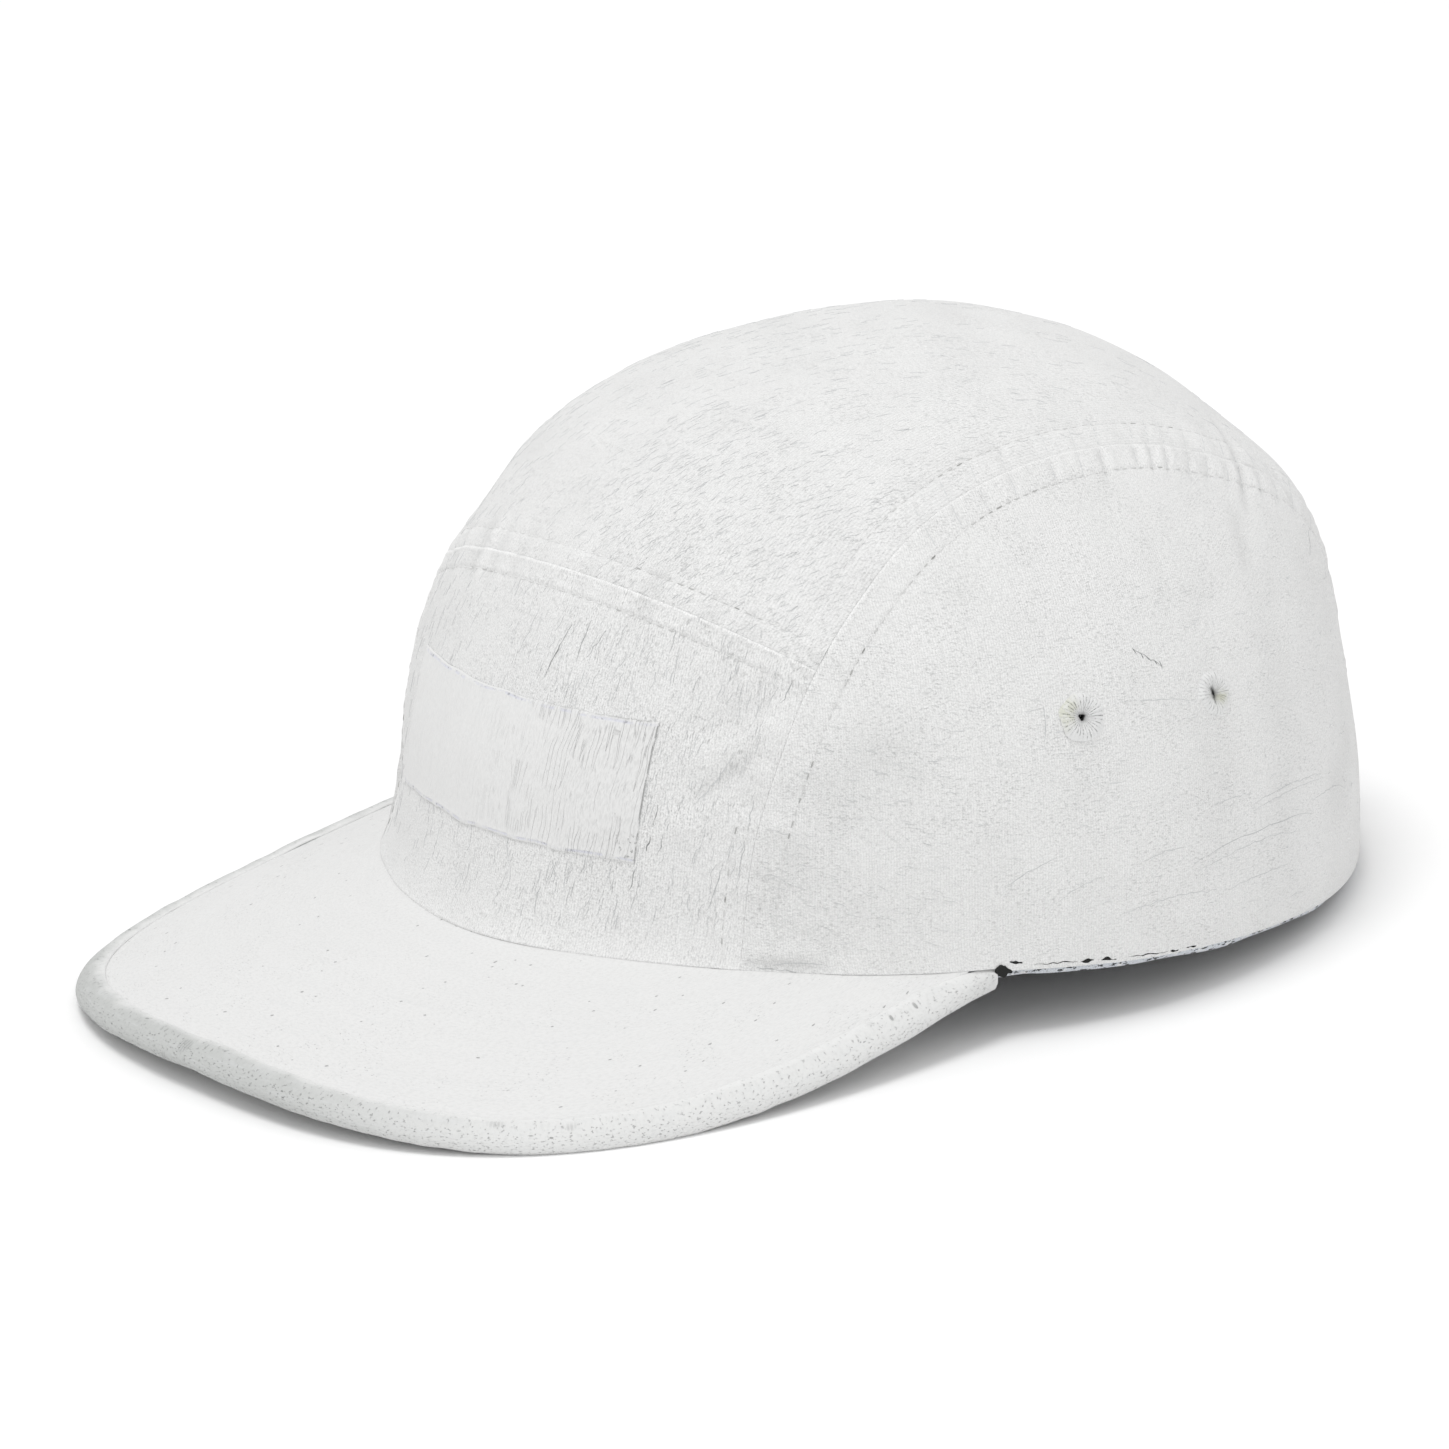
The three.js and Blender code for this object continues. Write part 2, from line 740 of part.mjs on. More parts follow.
// A point of the peak's outline, from its left end at 0 to its right end at 1, moved inwards
function peakOutline(share, inset) {
  const place = (s) => {
    const t = Math.PI * s;
    const c = Math.cos(t);
    return new THREE.Vector2(
      peakEnd.x * Math.sign(c) * Math.abs(c) ** (2 / PEAK_SQUARE_SIDE) + PEAK_BULGE * Math.sin(2 * t),
      peakEnd.y - PEAK_REACH * Math.abs(Math.sin(t)) ** (2 / PEAK_SQUARE_FRONT),
    );
  };
  const step = 1e-3;
  const point = place(share);
  const along = place(Math.min(share + step, 1)).sub(place(Math.max(share - step, 0))).normalize();
  const outward = new THREE.Vector2(-along.y, along.x);
  return { point: point.addScaledVector(outward, -inset), outward };
}

// Shares of the outline that are evenly spaced along its length
function evenShares(steps) {
  const fine = 2000;
  const lengths = [0];
  let before = peakOutline(0, 0).point;
  for (let i = 1; i <= fine; i++) {
    const { point } = peakOutline(i / fine, 0);
    lengths.push(lengths[i - 1] + point.distanceTo(before));
    before = point;
  }
  const total = lengths[fine];
  const shares = [];
  let k = 0;
  for (let i = 0; i <= steps; i++) {
    const wanted = total * i / steps;
    while (k < fine && lengths[k + 1] < wanted) k++;
    shares.push({ share: Math.min(k + 1, fine) / fine, length: wanted, left: total - wanted });
  }
  shares[0].share = 0;
  return shares;
}

function edgeWidth({ length, left }) {
  return lerp(EDGE_END_WIDTH, EDGE_WIDTH, smooth(Math.min(length, left) / EDGE_TAPER));
}

// The peak's thickness is measured straight down, so that its inner edge stands beside the rim
function onPeak(x, y) {
  return { point: new THREE.Vector3(x, y, peakHeight(x, y)), normal: UP };
}

// Inner edge of the peak, flush with the inside of the crown's cloth
function peakRoot(around) {
  const { base, outward } = rimOutward(around);
  const point = base.addScaledVector(outward, -CLOTH);
  return onPeak(point.x, point.y);
}

const peakStations = evenShares(PEAK_STEPS);

function peakEdgeGeometry() {
  const sections = peakStations.map((station) => {
    const width = edgeWidth(station);
    const fullness = (width - EDGE_END_WIDTH) / (EDGE_WIDTH - EDGE_END_WIDTH);
    const { point, outward } = peakOutline(station.share, 0);
    return EDGE_SECTION.map((row) => {
      const x = point.x - outward.x * row.in * width;
      const y = point.y - outward.y * row.in * width;
      const up = row.up > 0 ? row.up * fullness : row.up;
      return onPeak(x, y).point.addScaledVector(UP, up);
    });
  });
  return swept(sections);
}

// The board fills the peak inside its rolled edge, from rim to edge
function peakBoardGeometry() {
  const rimDistance = (point) => {
    const rim = peakRoot(Math.atan2(point.x, -point.y)).point;
    return Math.hypot(point.x, point.y) - Math.hypot(rim.x, rim.y);
  };
  const outer = peakStations
    .map((station) => peakOutline(station.share, edgeWidth(station) + GAP).point)
    .filter((point) => rimDistance(point) > PEAK_BOARD_START);
  const end = Math.atan2(outer[0].x, -outer[0].y);
  const grid = outer.map((point, i) => {
    const inner = peakRoot(lerp(end, -end, i / (outer.length - 1))).point;
    const row = [];
    for (let c = 0; c <= PEAK_COLUMNS; c++) {
      const share = c / PEAK_COLUMNS;
      row.push(onPeak(lerp(inner.x, point.x, share), lerp(inner.y, point.y, share)));
    }
    return row;
  });
  return wall(grid, PEAK_BOARD);
}

// Sweatband and strap, just inside the crown's cloth

function insideCrown(around, height) {
  const base = crownAt(around, height);
  const normal = crownNormal(base);
  const depth = CLOTH + GAP - Math.min(swelling(base), 0);
  return { point: base.addScaledVector(normal, -depth), normal };
}

function sweatbandGeometry() {
  const grid = [];
  for (let r = 0; r <= BAND_ROWS; r++) {
    const row = [];
    for (let c = 0; c <= BAND_STEPS; c++) {
      const around = lerp(-BAND_END, BAND_END, c / BAND_STEPS);
      const rim = rimPoint(radians(around)).point.z;
      const behind = (PEAK_CORNER + BAND_CHANGE - Math.abs(around)) / 2 / BAND_CHANGE;
      const foot = rim - lerp(BAND_SHOWS, BAND_BEHIND_PEAK, clamp(behind, 0, 1));
      row.push(insideCrown(radians(around), lerp(foot, BAND_HEIGHT, r / BAND_ROWS)));
    }
    grid.push(row);
  }
  return wall(grid, BAND_THICKNESS);
}

function strapGeometry() {
  const grid = [0, 0.5, 1].map((share) => {
    const row = [];
    for (let c = 0; c <= STRAP_STEPS; c++) {
      const around = radians(lerp(STRAP_END, 360 - STRAP_END, c / STRAP_STEPS));
      row.push(insideCrown(around, STRAP_FOOT + share * STRAP_WIDTH));
    }
    return row;
  });
  return wall(grid, STRAP_THICKNESS);
}

// A flat loop that the strap runs through
function buckleGeometry() {
  const box = (path, width, height, corner) => {
    const [x, y] = [width / 2, height / 2];
    path.moveTo(-x + corner, -y);
    path.lineTo(x - corner, -y);
    path.absarc(x - corner, -y + corner, corner, -Math.PI / 2, 0, false);
    path.absarc(x - corner, y - corner, corner, 0, Math.PI / 2, false);
    path.absarc(-x + corner, y - corner, corner, Math.PI / 2, Math.PI, false);
    path.absarc(-x + corner, -y + corner, corner, Math.PI, Math.PI * 1.5, false);
    return path;
  };
  const shape = box(new THREE.Shape(), BUCKLE_DEPTH, BUCKLE_HEIGHT, BUCKLE_ROUND);
  const slot = box(new THREE.Path(), BUCKLE_SLOT_DEPTH, STRAP_WIDTH + 2 * GAP, BUCKLE_SLOT_ROUND);
  shape.holes.push(slot);
  const geometry = new THREE.ExtrudeGeometry(shape, {
    depth: BUCKLE_LENGTH,
    bevelEnabled: false,
    curveSegments: 3,
  });
  geometry.translate(0, 0, -BUCKLE_LENGTH / 2);
  return fromManifold(toManifold(geometry));
}

// Assembly

function finish(name, color = CLOTH_COLOUR, roughness = 0.9) {
  return new THREE.MeshStandardMaterial({ name, color, roughness, metalness: 0 });
}

function piece(name, geometry, material) {
  const mesh = new THREE.Mesh(geometry, material);
  mesh.name = name;
  return mesh;
}

const canvas = finish('painted_cloth');
const cap = new THREE.Group();
cap.add(piece('front_panel', frontPanel(), canvas));
cap.add(piece('top_panel', topPanel(), canvas));
cap.add(piece('side_panel_left', sidePanel(1), canvas));
cap.add(piece('side_panel_right', sidePanel(-1), canvas));
cap.add(piece('patch', patchGeometry(), finish('patch_cloth')));
cap.add(piece('peak', peakBoardGeometry(), finish('peak_cloth')));
cap.add(piece('peak_edge', peakEdgeGeometry(), finish('peak_edge_cloth')));
cap.add(piece('sweatband', sweatbandGeometry(), finish('sweatband_cloth', BAND_COLOUR)));
cap.add(piece('strap', strapGeometry(), finish('webbing')));

const thread = finish('eyelet_thread');
for (const row of EYELETS) {
  const seat = eyeletSeat(row);
  const eyelet = piece(row.name, eyeletGeometry(), thread);
  eyelet.position.copy(seat.point);
  eyelet.quaternion.copy(outOfCloth(seat.normal));
  cap.add(eyelet);
}

// The buckle's slot runs along the strap, and its depth across it
const buckleSeat = insideCrown(radians(BUCKLE_AROUND), STRAP_FOOT + STRAP_WIDTH / 2);
const alongStrap = buckleSeat.normal.clone().cross(UP).normalize();
const upBuckle = alongStrap.clone().cross(buckleSeat.normal);
const strapSag = BUCKLE_LENGTH ** 2 / 8 / RIM_BACK;
const buckle = piece('buckle', buckleGeometry(), finish('buckle_plastic', BUCKLE_COLOUR, 0.5));
buckle.quaternion.setFromRotationMatrix(
  new THREE.Matrix4().makeBasis(buckleSeat.normal, upBuckle, alongStrap),
);
buckle.position.copy(buckleSeat.point)
  .addScaledVector(buckleSeat.normal, -(STRAP_THICKNESS + strapSag) / 2);
cap.add(buckle);

// Rest: the cap is tipped until the lowest point of its peak is level with that of its rim

const part = new THREE.Group();
part.add(cap);

function worldPoints() {
  part.updateMatrixWorld(true);
  const points = [];
  cap.traverse((object) => {
    if (!object.isMesh) return;
    const position = object.geometry.getAttribute('position');
    for (let i = 0; i < position.count; i++) {
      points.push(new THREE.Vector3().fromBufferAttribute(position, i).applyMatrix4(object.matrixWorld));
    }
  });
  return points;
}

function lowest(points) {
  return points.reduce((best, point) => (point.z < best.z ? point : best));
}

for (let i = 0; i < 12; i++) {
  const points = worldPoints();
  const peak = lowest(points.filter((point) => point.y < -EDGE_TAPER));
  const back = lowest(points.filter((point) => point.y > EDGE_TAPER));
  cap.rotation.x -= Math.atan2(back.z - peak.z, back.y - peak.y);
}

const extent = new THREE.Box3().setFromPoints(worldPoints());
const middle = extent.getCenter(new THREE.Vector3());
cap.position.set(-middle.x, -middle.y, -extent.min.z - REST_PRESS);

// Cloth that would go below the surface is flattened on it
part.updateMatrixWorld(true);
cap.traverse((object) => {
  if (!object.isMesh) return;
  const placed = object.geometry.clone().applyMatrix4(object.matrixWorld);
  placed.computeBoundingBox();
  if (placed.boundingBox.min.z >= 0) return;
  const flattened = fromManifold(toManifold(placed).trimByPlane([0, 0, 1], 0));
  object.geometry = flattened.applyMatrix4(object.matrixWorld.clone().invert());
});

export default part;
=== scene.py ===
"""A camp cap of off-white painted cloth, with four crown panels, resting on a pale floor.

The shapes repeat the solids of the part, in the same frame, and add what solids leave out: seams and
their stitches, puckers, rolled edges, woven cloth, brushed paint and its wear.
"""

import math

import bpy
import numpy as np
from bpy.props import FloatProperty, FloatVectorProperty, PointerProperty
from mathutils import Matrix, Vector
from mathutils.kdtree import KDTree


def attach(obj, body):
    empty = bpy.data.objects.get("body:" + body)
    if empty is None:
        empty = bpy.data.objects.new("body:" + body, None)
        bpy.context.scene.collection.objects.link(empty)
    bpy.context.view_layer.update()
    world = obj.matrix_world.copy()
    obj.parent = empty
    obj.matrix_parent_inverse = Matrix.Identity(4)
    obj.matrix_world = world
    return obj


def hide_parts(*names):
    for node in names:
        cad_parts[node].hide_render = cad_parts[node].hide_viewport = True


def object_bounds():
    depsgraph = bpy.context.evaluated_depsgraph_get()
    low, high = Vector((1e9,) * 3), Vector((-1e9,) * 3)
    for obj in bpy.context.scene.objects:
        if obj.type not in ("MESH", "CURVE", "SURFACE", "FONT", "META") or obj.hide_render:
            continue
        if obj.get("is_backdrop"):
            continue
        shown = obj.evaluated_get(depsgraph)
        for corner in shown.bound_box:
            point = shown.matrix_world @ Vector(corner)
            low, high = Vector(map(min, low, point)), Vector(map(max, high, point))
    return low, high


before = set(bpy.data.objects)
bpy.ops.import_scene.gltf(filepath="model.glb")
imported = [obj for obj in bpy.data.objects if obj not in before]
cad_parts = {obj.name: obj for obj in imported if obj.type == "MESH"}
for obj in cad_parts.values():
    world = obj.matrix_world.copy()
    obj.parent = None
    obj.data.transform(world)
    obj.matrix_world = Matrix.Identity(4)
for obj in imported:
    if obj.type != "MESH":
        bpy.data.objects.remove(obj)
CAD_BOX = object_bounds()

bl_info = {
    "name": "Camp cap",
    "version": (1, 0, 0),
    "blender": (4, 5, 0),
    "location": "3D View > Sidebar > Camp cap",
    "description": "Builds a camp cap of painted cloth and the stage it rests on",
    "category": "Object",
}

# Sizes that the solids share, in millimetres, with the rim level and its middle at the origin

RIM_FRONT = 94.5
RIM_BACK = 100.1
RIM_SIDE = 90.9
DOME_HEIGHT = 102.8
DOME_SHIFT = 9.9
PROFILE = {
    "front": {"draw": 0.658, "rise": 0.862, "lean": 0.033},
    "side": {"draw": 1.012, "rise": 0.721, "lean": 0.078},
    "back": {"draw": 1.104, "rise": 0.779, "lean": 0.027},
}
TOP_EASE = 8
PLAN = {
    "front": {"rim": 1.736, "top": 2.277},
    "back": {"rim": 1.984, "top": 2.339},
}
PLAN_BLEND = 0.5
PLAN_ROUND = 0.2
FOOT_FLARE = 3.6
FOOT_FLARE_HEIGHT = 6.0

# Swellings and hollows: direction from the front in degrees, height, width, tallness, how far out
SWELLINGS = (
    ("shoulder_left", 147, 69, 20, 13, 1.8),
    ("shoulder_right", -147, 69, 20, 13, 1.8),
    ("quarter_left", 140, 36, 30, 20, -1.9),
    ("quarter_right", -140, 36, 30, 20, -1.9),
    ("seam_dip_left", 43, 65, 16, 9, -1.0),
    ("seam_dip_right", -43, 65, 16, 9, -1.2),
    ("foot_dip_right", -35, 14, 16, 9, -0.7),
    ("front_fold", 33, 37, 5, 16, -0.8),
    ("front_corner_left", 39, 38, 12, 12, 0.5),
    ("front_corner_right", -39, 38, 16, 12, 0.5),
    ("shoulder_crease_left", 138, 80, 4, 12, -1.0),
)
SWELLING_DEPTH = 30.0

# Side seam: turn over the head in degrees, distance from the middle
SIDE_SEAM = (
    (0, 51), (15, 51.6), (30, 53.3), (50, 54.1), (70, 53.3),
    (95, 53), (115, 53.4), (130, 50), (150, 48.5), (180, 46),
)
CROSS_SEAM_HEIGHT = 63.7
CROSS_SEAM_DROP = 9.6
CROSS_SEAM_SIDE = 38.0
CROSS_SEAM_POWER = 2.1

CLOTH = 1.2
GAP = 0.3

PEAK_CORNER = 64.2
PEAK_REACH = 118.2
PEAK_SQUARE_SIDE = 2.87
PEAK_SQUARE_FRONT = 2.28
PEAK_BULGE = 8.2
PEAK_SLOPE = 0.242
PEAK_ARCH = 11.8
PEAK_ARCH_POWER = 2.4
PEAK_BOARD = 3.0

EDGE_WIDTH = 5.5
EDGE_END_WIDTH = 2.4
EDGE_TAPER = 16.0
EDGE_SECTION = (
    (1, 0.1), (0.8, 0.65), (0.45, 0.75), (0.15, 0.1), (0, -1.2),
    (0.05, -2.4), (0.3, -3.6), (0.75, -3.6), (1, -3.1),
)

PATCH_LEFT = 33.5
PATCH_RIGHT = -36.5
PATCH_FOOT = 16.0
PATCH_TOP = 41.4
PATCH_WIDE = PATCH_LEFT - PATCH_RIGHT
PATCH_TALL = PATCH_TOP - PATCH_FOOT

BAND_HEIGHT = 30.0
BAND_THICKNESS = 1.4
BAND_SHOWS = 1.6
BAND_BEHIND_PEAK = 3.4
BAND_CHANGE = 4.0
BAND_END = 150.5

ARCH_HALF_WIDTH = 36.0
ARCH_HEIGHT = 42.0
ARCH_SPRING = ARCH_HEIGHT - ARCH_HALF_WIDTH  # height where its round head starts
STRAP_END = 152.5
STRAP_FOOT = 3.5
STRAP_WIDTH = 20.0
STRAP_THICKNESS = 1.2
BUCKLE_AROUND = 171.0
BUCKLE_LENGTH = 12.0
BUCKLE_HEIGHT = 24.0
BUCKLE_DEPTH = 5.0
BUCKLE_SLOT_DEPTH = 2.6

EYELETS = (
    ("eyelet_left_front", 74.5, 44.6),
    ("eyelet_left_rear", 95.5, 45.4),
    ("eyelet_right_front", -74.5, 44.6),
    ("eyelet_right_rear", -95.5, 45.4),
)
EYELET_RADIUS = 4.6
EYELET_HOLE = 1.3

# How the cap rests: tipped back about the X axis, then moved, in radians and millimetres
REST_TILT = -0.0930645
REST_PLACE = (0.0, 28.9584, 8.8551)

# Camera, with the rim level: directions in degrees, lengths in millimetres
CAMERA_AZIMUTH = 49.366
CAMERA_ELEVATION = 14.197
CAMERA_ROLL = 1.959
CAMERA_ASIDE = -27.556
CAMERA_UP = 21.191
CAMERA_DISTANCE = 1253.06
CAMERA_REACH = 6501.4  # focal length in pixels of a picture PHOTO_WIDTH pixels wide
PHOTO_WIDTH = 1449.0
SENSOR_WIDTH = 36.0

# Eyelet's section, from its hole to its outer edge and height over the cloth
EYELET_PROFILE = (
    (0.0, -1.5), (0.0, -0.2), (0.12, 0.1), (0.35, 0.35), (0.55, 0.55), (0.70, 0.62), (0.83, 0.45),
    (0.93, 0.2), (1.0, -0.15), (0.35, -0.15), (0.3, -1.3), (0.75, -1.4), (0.7, -1.75), (0.2, -1.85),
)
EYELET_OPENING = 2.4  # cloth is left out this close to the hole's middle

# UV maps: millimetres of cloth for one radian round the head, and for one degree up the side
FRONT_MAP = 88
BAND_MAP = 92
STRAP_MAP = 98
SIDE_MAP_RISE = 1.69

# Rubbed and dirty places: position, reach and strength
RUBBED = (
    ("front_corner", (56, -70, 13), 8, 0.5),
    ("corner_above", (55, -71, 24), 6, 0.35),
    ("rim_front", (60, -66, 3), 8, 0.4),
    ("seam_top", (51, -64, 55), 4, 0.6),
)

# Where the paint's grain is coarsest, and how coarse it is far from there
COARSE = (
    ("front", (30, -80, 35), 50, 1.0),
    ("side", (82, -25, 45), 65, 0.7),
)
COARSE_LEAST = 0.4
BAND_TORN = (("behind_peak", (82, -38, 0), 2.2, 1.0),)
SOOT_AND_HOLE_SHADE = 0.15  # share of the dirt's colour that is left in the darkest cracks and flecks, and in the painted shade deep in the eyelets' holes

# Single cracks in the paint: panel, start, end, how far the crack bows, its width and how dark it is
CRACKS = (
    ("front", (10, -82, 55), (8, -86, 45), 0.3, 0.26, 0.7),
    ("front", (14, -80, 56), (14, -84, 49), -0.3, 0.2, 0.5),
    ("front", (18, -80, 55), (16, -83, 50), 0.2, 0.2, 0.45),
    ("front", (1, -82, 56), (-1, -86, 48), 0.2, 0.18, 0.25),
    ("front", (5, -88, 40), (3, -92, 28), 0.4, 0.18, 0.25),
    ("front", (36, -82, 27), (35.4, -83, 23), 0.1, 0.22, 0.7),
    ("front", (35.6, -83, 21.5), (35.2, -84, 18.5), 0.1, 0.26, 0.8),
    ("front", (33.5, -85, 15), (33, -86, 11), 0.1, 0.2, 0.6),
    ("front", (37.5, -82, 22), (37, -83, 18), 0.2, 0.18, 0.5),
    ("front", (48, -77, 18), (46, -78, 9), 0.0, 0.2, 0.35),
    ("front", (50.5, -71.8, 31), (50.2, -73.2, 24), 0.0, 0.16, 0.35),
    ("front", (50.1, -73.4, 22), (49.6, -74.2, 13), 0.0, 0.16, 0.35),
    ("front", (51.5, -65, 52), (51, -67, 47), 0.3, 0.2, 0.5),
    ("front", (50, -67, 50), (49.5, -69, 46), -0.2, 0.16, 0.35),
    ("front", (47, -74, 38), (42, -79, 28), 0.5, 0.2, 0.15),
    # The next two are painted shadow in the crease where the side panel's foot meets the peak.
    ("left", (55, -74.5, -0.6), (60, -69, -0.3), 0.2, 0.35, 0.4),
    ("left", (57, -72, 0.3), (64, -65, 0.8), 0.3, 0.25, 0.2),
    ("left", (79.6, -7.6, 55.4), (82, -2, 51.8), 0.1, 0.24, 0.5),
    ("left", (79.8, -7.6, 55.8), (80.2, -7.2, 54.4), 0.0, 0.24, 0.9),
    ("left", (80.4, -6.4, 54.8), (80.8, -5.9, 53.6), 0.0, 0.24, 0.9),
    ("left", (80.9, -5.0, 54.0), (81.3, -4.5, 52.9), 0.0, 0.24, 0.9),
    ("left", (81.3, -3.7, 53.4), (81.7, -3.2, 52.3), 0.0, 0.24, 0.8),
    ("left", (81.7, -2.6, 52.9), (82.1, -2.1, 51.9), 0.0, 0.2, 0.7),
    ("left", (81.5, -13, 46), (84.5, 4, 45), 0.2, 0.16, 0.16),
    ("left", (78, -28, 47), (80, -29, 41), 0.2, 0.2, 0.22),
    ("left", (90, 0, 16), (83, 37, 18.5), 1.6, 0.2, 0.3),
    ("left", (90.5, 1, 14.6), (86, 31, 16.6), 1.4, 0.16, 0.2),
    ("left", (88, 16, 24), (82, 40, 25.5), 0.8, 0.16, 0.22),
    ("left", (88, 17, 23), (81, 41, 24), 0.8, 0.14, 0.16),
    ("left", (89, 5, 26), (88, 16, 26.5), 0.4, 0.16, 0.16),
    ("left", (81, -38, 15), (84, -29, 20), 0.6, 0.18, 0.24),
    ("left", (85, -29, 12), (87, -20, 16), 0.6, 0.16, 0.2),
    ("left", (89, -12, 18), (90, -2, 19.5), 0.4, 0.16, 0.2),
    ("left", (89, -17, 9), (91, 6, 10.5), 0.6, 0.16, 0.2),
    ("left", (90, 9, 9.5), (87, 28, 11), 0.6, 0.16, 0.16),
    ("left", (83, 37, 21), (74, 54, 19), 0.8, 0.16, 0.16),
    ("left", (55.5, 58.5, 64), (60, 54, 60), 0.3, 0.3, 0.35),
    ("left", (81.3, -40.0, 0.4), (82.8, -37.0, -0.2), 0.0, 2.2, 1.8),
    ("left", (82.4, -37.4, 1.6), (83.4, -35.2, 1.2), 0.0, 0.8, 1.7),
    ("left", (84.0, -33, 0.8), (87, -25, 0.6), 0.1, 0.2, 1.3),
    ("left", (87.0, -24.5, 0.9), (87.8, -22, 0.7), 0.0, 0.7, 1.7),
    ("left", (88.2, -20.5, 0.8), (88.9, -17.5, 0.7), 0.0, 0.6, 1.7),
    ("left", (89.2, -15, 0.5), (90.3, -6, 0.5), 0.1, 0.2, 1.3),
    ("left", (90.4, -5.5, 0.6), (90.6, -3.5, 0.6), 0.0, 0.5, 1.7),
    ("left", (90.7, -1.5, 0.6), (90.8, 1.0, 0.6), 0.0, 0.4, 1.6),
)

# Fields of short cracks: panel, how many, where they start (place across or around the panel and
# height or turn over the head), their lengths, how much they lean and how dark they get
CRACK_FIELDS = (
    ("front", 460, (-46, 50), (2, 60), (0.8, 3.5), 6, 0.22),
    ("front", 300, (6, 50), (3, 56), (1.0, 4.0), 9, 0.34),
    ("top", 700, (-50, 50), (42, 92), (0.8, 3.0), 24, 0.11),
    ("top", 600, (0, 50), (38, 64), (0.8, 2.5), 26, 0.24),
    ("top", 200, (-48, 48), (92, 150), (1, 4), 20, 0.12),
    ("left", 200, (38, 140), (4, 66), (0.8, 3), 0, 0.14),
    ("left", 120, (36, 58), (4, 40), (0.8, 3), 14, 0.26),
    ("right", 200, (-140, -38), (4, 66), (0.8, 3), 0, 0.14),
)

# How much of the binding's grey shows along the peak's edge, from its right end to its left one: place,
# share. It is painted shade, darker at the end that the key lamp lights more.
EDGE_SHADING = ((-70, 1.0), (-15, 1.0), (25, 0.95), (65, 0.3))

# Painted light along the foot of the front, which lifts the shade that falls there: strength, and the
# height where it has half faded
FOOT_PAINTED_LIGHT = 0.45
FOOT_PAINTED_LIGHT_HEIGHT = 20.0

SEAM_GAP = 0.02  # left between panels that meet at a seam
CRACK_PROUD = 0.01
STITCH_PROUD = 0.03
EDGE_ROUND_STEPS = 44
EDGE_WRAP = 18.0  # length of cloth round the edge's section
SHARP_ANGLE = 50.0  # in degrees; faces that meet more steeply keep a sharp edge

# Where dark thread shows through the paint: millimetres along the seam, and the share that is bare
SIDE_THREAD = ((0, 0.2), (20, 0.6), (35, 0.9), (120, 0.9), (150, 0.6), (175, 0.35), (250, 0.3))
FRONT_THREAD = ((0, 0.5), (8, 0.9), (30, 0.6), (40, 0.1), (55, 0.1))
TOP_THREAD = ((0, 0.3), (20, 0.35), (50, 0.6), (90, 0.6), (110, 0.3), (250, 0.25))
CROSS_THREAD = ((0, 0.3), (40, 0.15), (70, 0.3), (85, 0.6), (110, 0.5))
ARCH_THREAD = ((0, 0.2), (150, 0.2))

# Stage, in metres and watts
FLOOR_REACH = 6.0
WORLD_LIGHT = 0.77
LIGHTS = (
    ("key", (-0.3, -0.5, 3.1), 1.4, 35),
    ("fill", (2.5, -1.2, 0.8), 1.2, 9),
)

MM = 1000  # millimetres in a metre
UP = np.array([0.0, 0.0, 1.0])
FORWARDS = np.array([0.0, -1.0, 0.0])
BACKWARDS = np.array([0.0, 1.0, 0.0])
MIRROR = np.array([-1.0, 1.0, 1.0])  # from the left side to the right
CENTRE = np.zeros(3)


# Small helpers


def smooth(share):
    share = np.clip(share, 0.0, 1.0)
    return share * share * (3.0 - 2.0 * share)


def lerp(a, b, share):
    return a + (b - a) * share


def unit(vectors):
    return vectors / np.maximum(np.linalg.norm(vectors, axis=-1, keepdims=True), 1e-12)


def bell(distance, width):
    return np.exp(-((distance / width) ** 2))


def flat(values):
    """The rows of a grid, one after another."""
    return values.reshape(-1, values.shape[-1])


def run_along(points):
    """How far along a line each of its points lies."""
    return np.concatenate([[0.0], np.cumsum(np.linalg.norm(np.diff(points, axis=0), axis=1))])


def evenly(points, count):
    """A closed line in a plane, as evenly spaced points."""
    lengths = run_along(points)
    wanted = np.linspace(0, lengths[-1], count, endpoint=False)
    return np.stack([np.interp(wanted, lengths, points[:, k]) for k in (0, 1)], -1)


def waves(points, length, seed, count=14):
    """Smooth unevenness, mostly from -1 to 1, with about the given length, the same on each run."""
    dice = np.random.default_rng(seed)
    ways = unit(dice.normal(size=(count, 3)))
    lengths = length * dice.uniform(0.7, 1.6, count)
    starts = dice.uniform(0, 2 * math.pi, count)
    phases = points @ (ways / lengths[:, None]).T * 2 * math.pi + starts
    return np.sin(phases).sum(-1) / math.sqrt(count) * 0.8


# Crown surface


def quarter_value(key, around):
    sideways = np.sin(around) ** 2
    end = np.where(np.cos(around) > 0, PROFILE["front"][key], PROFILE["back"][key])
    return PROFILE["side"][key] * sideways + end * (1 - sideways)


def plan_radius(around, level):
    front = lerp(PLAN["front"]["rim"], PLAN["front"]["top"], level)
    back = lerp(PLAN["back"]["rim"], PLAN["back"]["top"], level)
    power = lerp(front, back, smooth(0.5 - 0.5 * np.cos(around) / PLAN_BLEND))
    length = np.where(np.cos(around) > 0, RIM_FRONT, RIM_BACK)
    x = np.abs(np.sin(around)) / RIM_SIDE
    y = np.abs(np.cos(around)) / length
    soft = PLAN_ROUND**2
    whole = (1 + soft) ** (power / 2) + PLAN_ROUND**power
    radius = (x**power + y**power) ** (-1 / power)
    for _ in range(4):
        u = (radius * x) ** 2 + soft
        v = (radius * y) ** 2 + soft
        pu = u ** (power / 2 - 1)
        pv = v ** (power / 2 - 1)
        slope = power * radius * (pu * x * x + pv * y * y)
        radius = radius - (u * pu + v * pv - whole) / slope
    return radius


def dome_shift(height):
    return DOME_SHIFT * np.clip(height / DOME_HEIGHT, 0, 1) ** 2.5


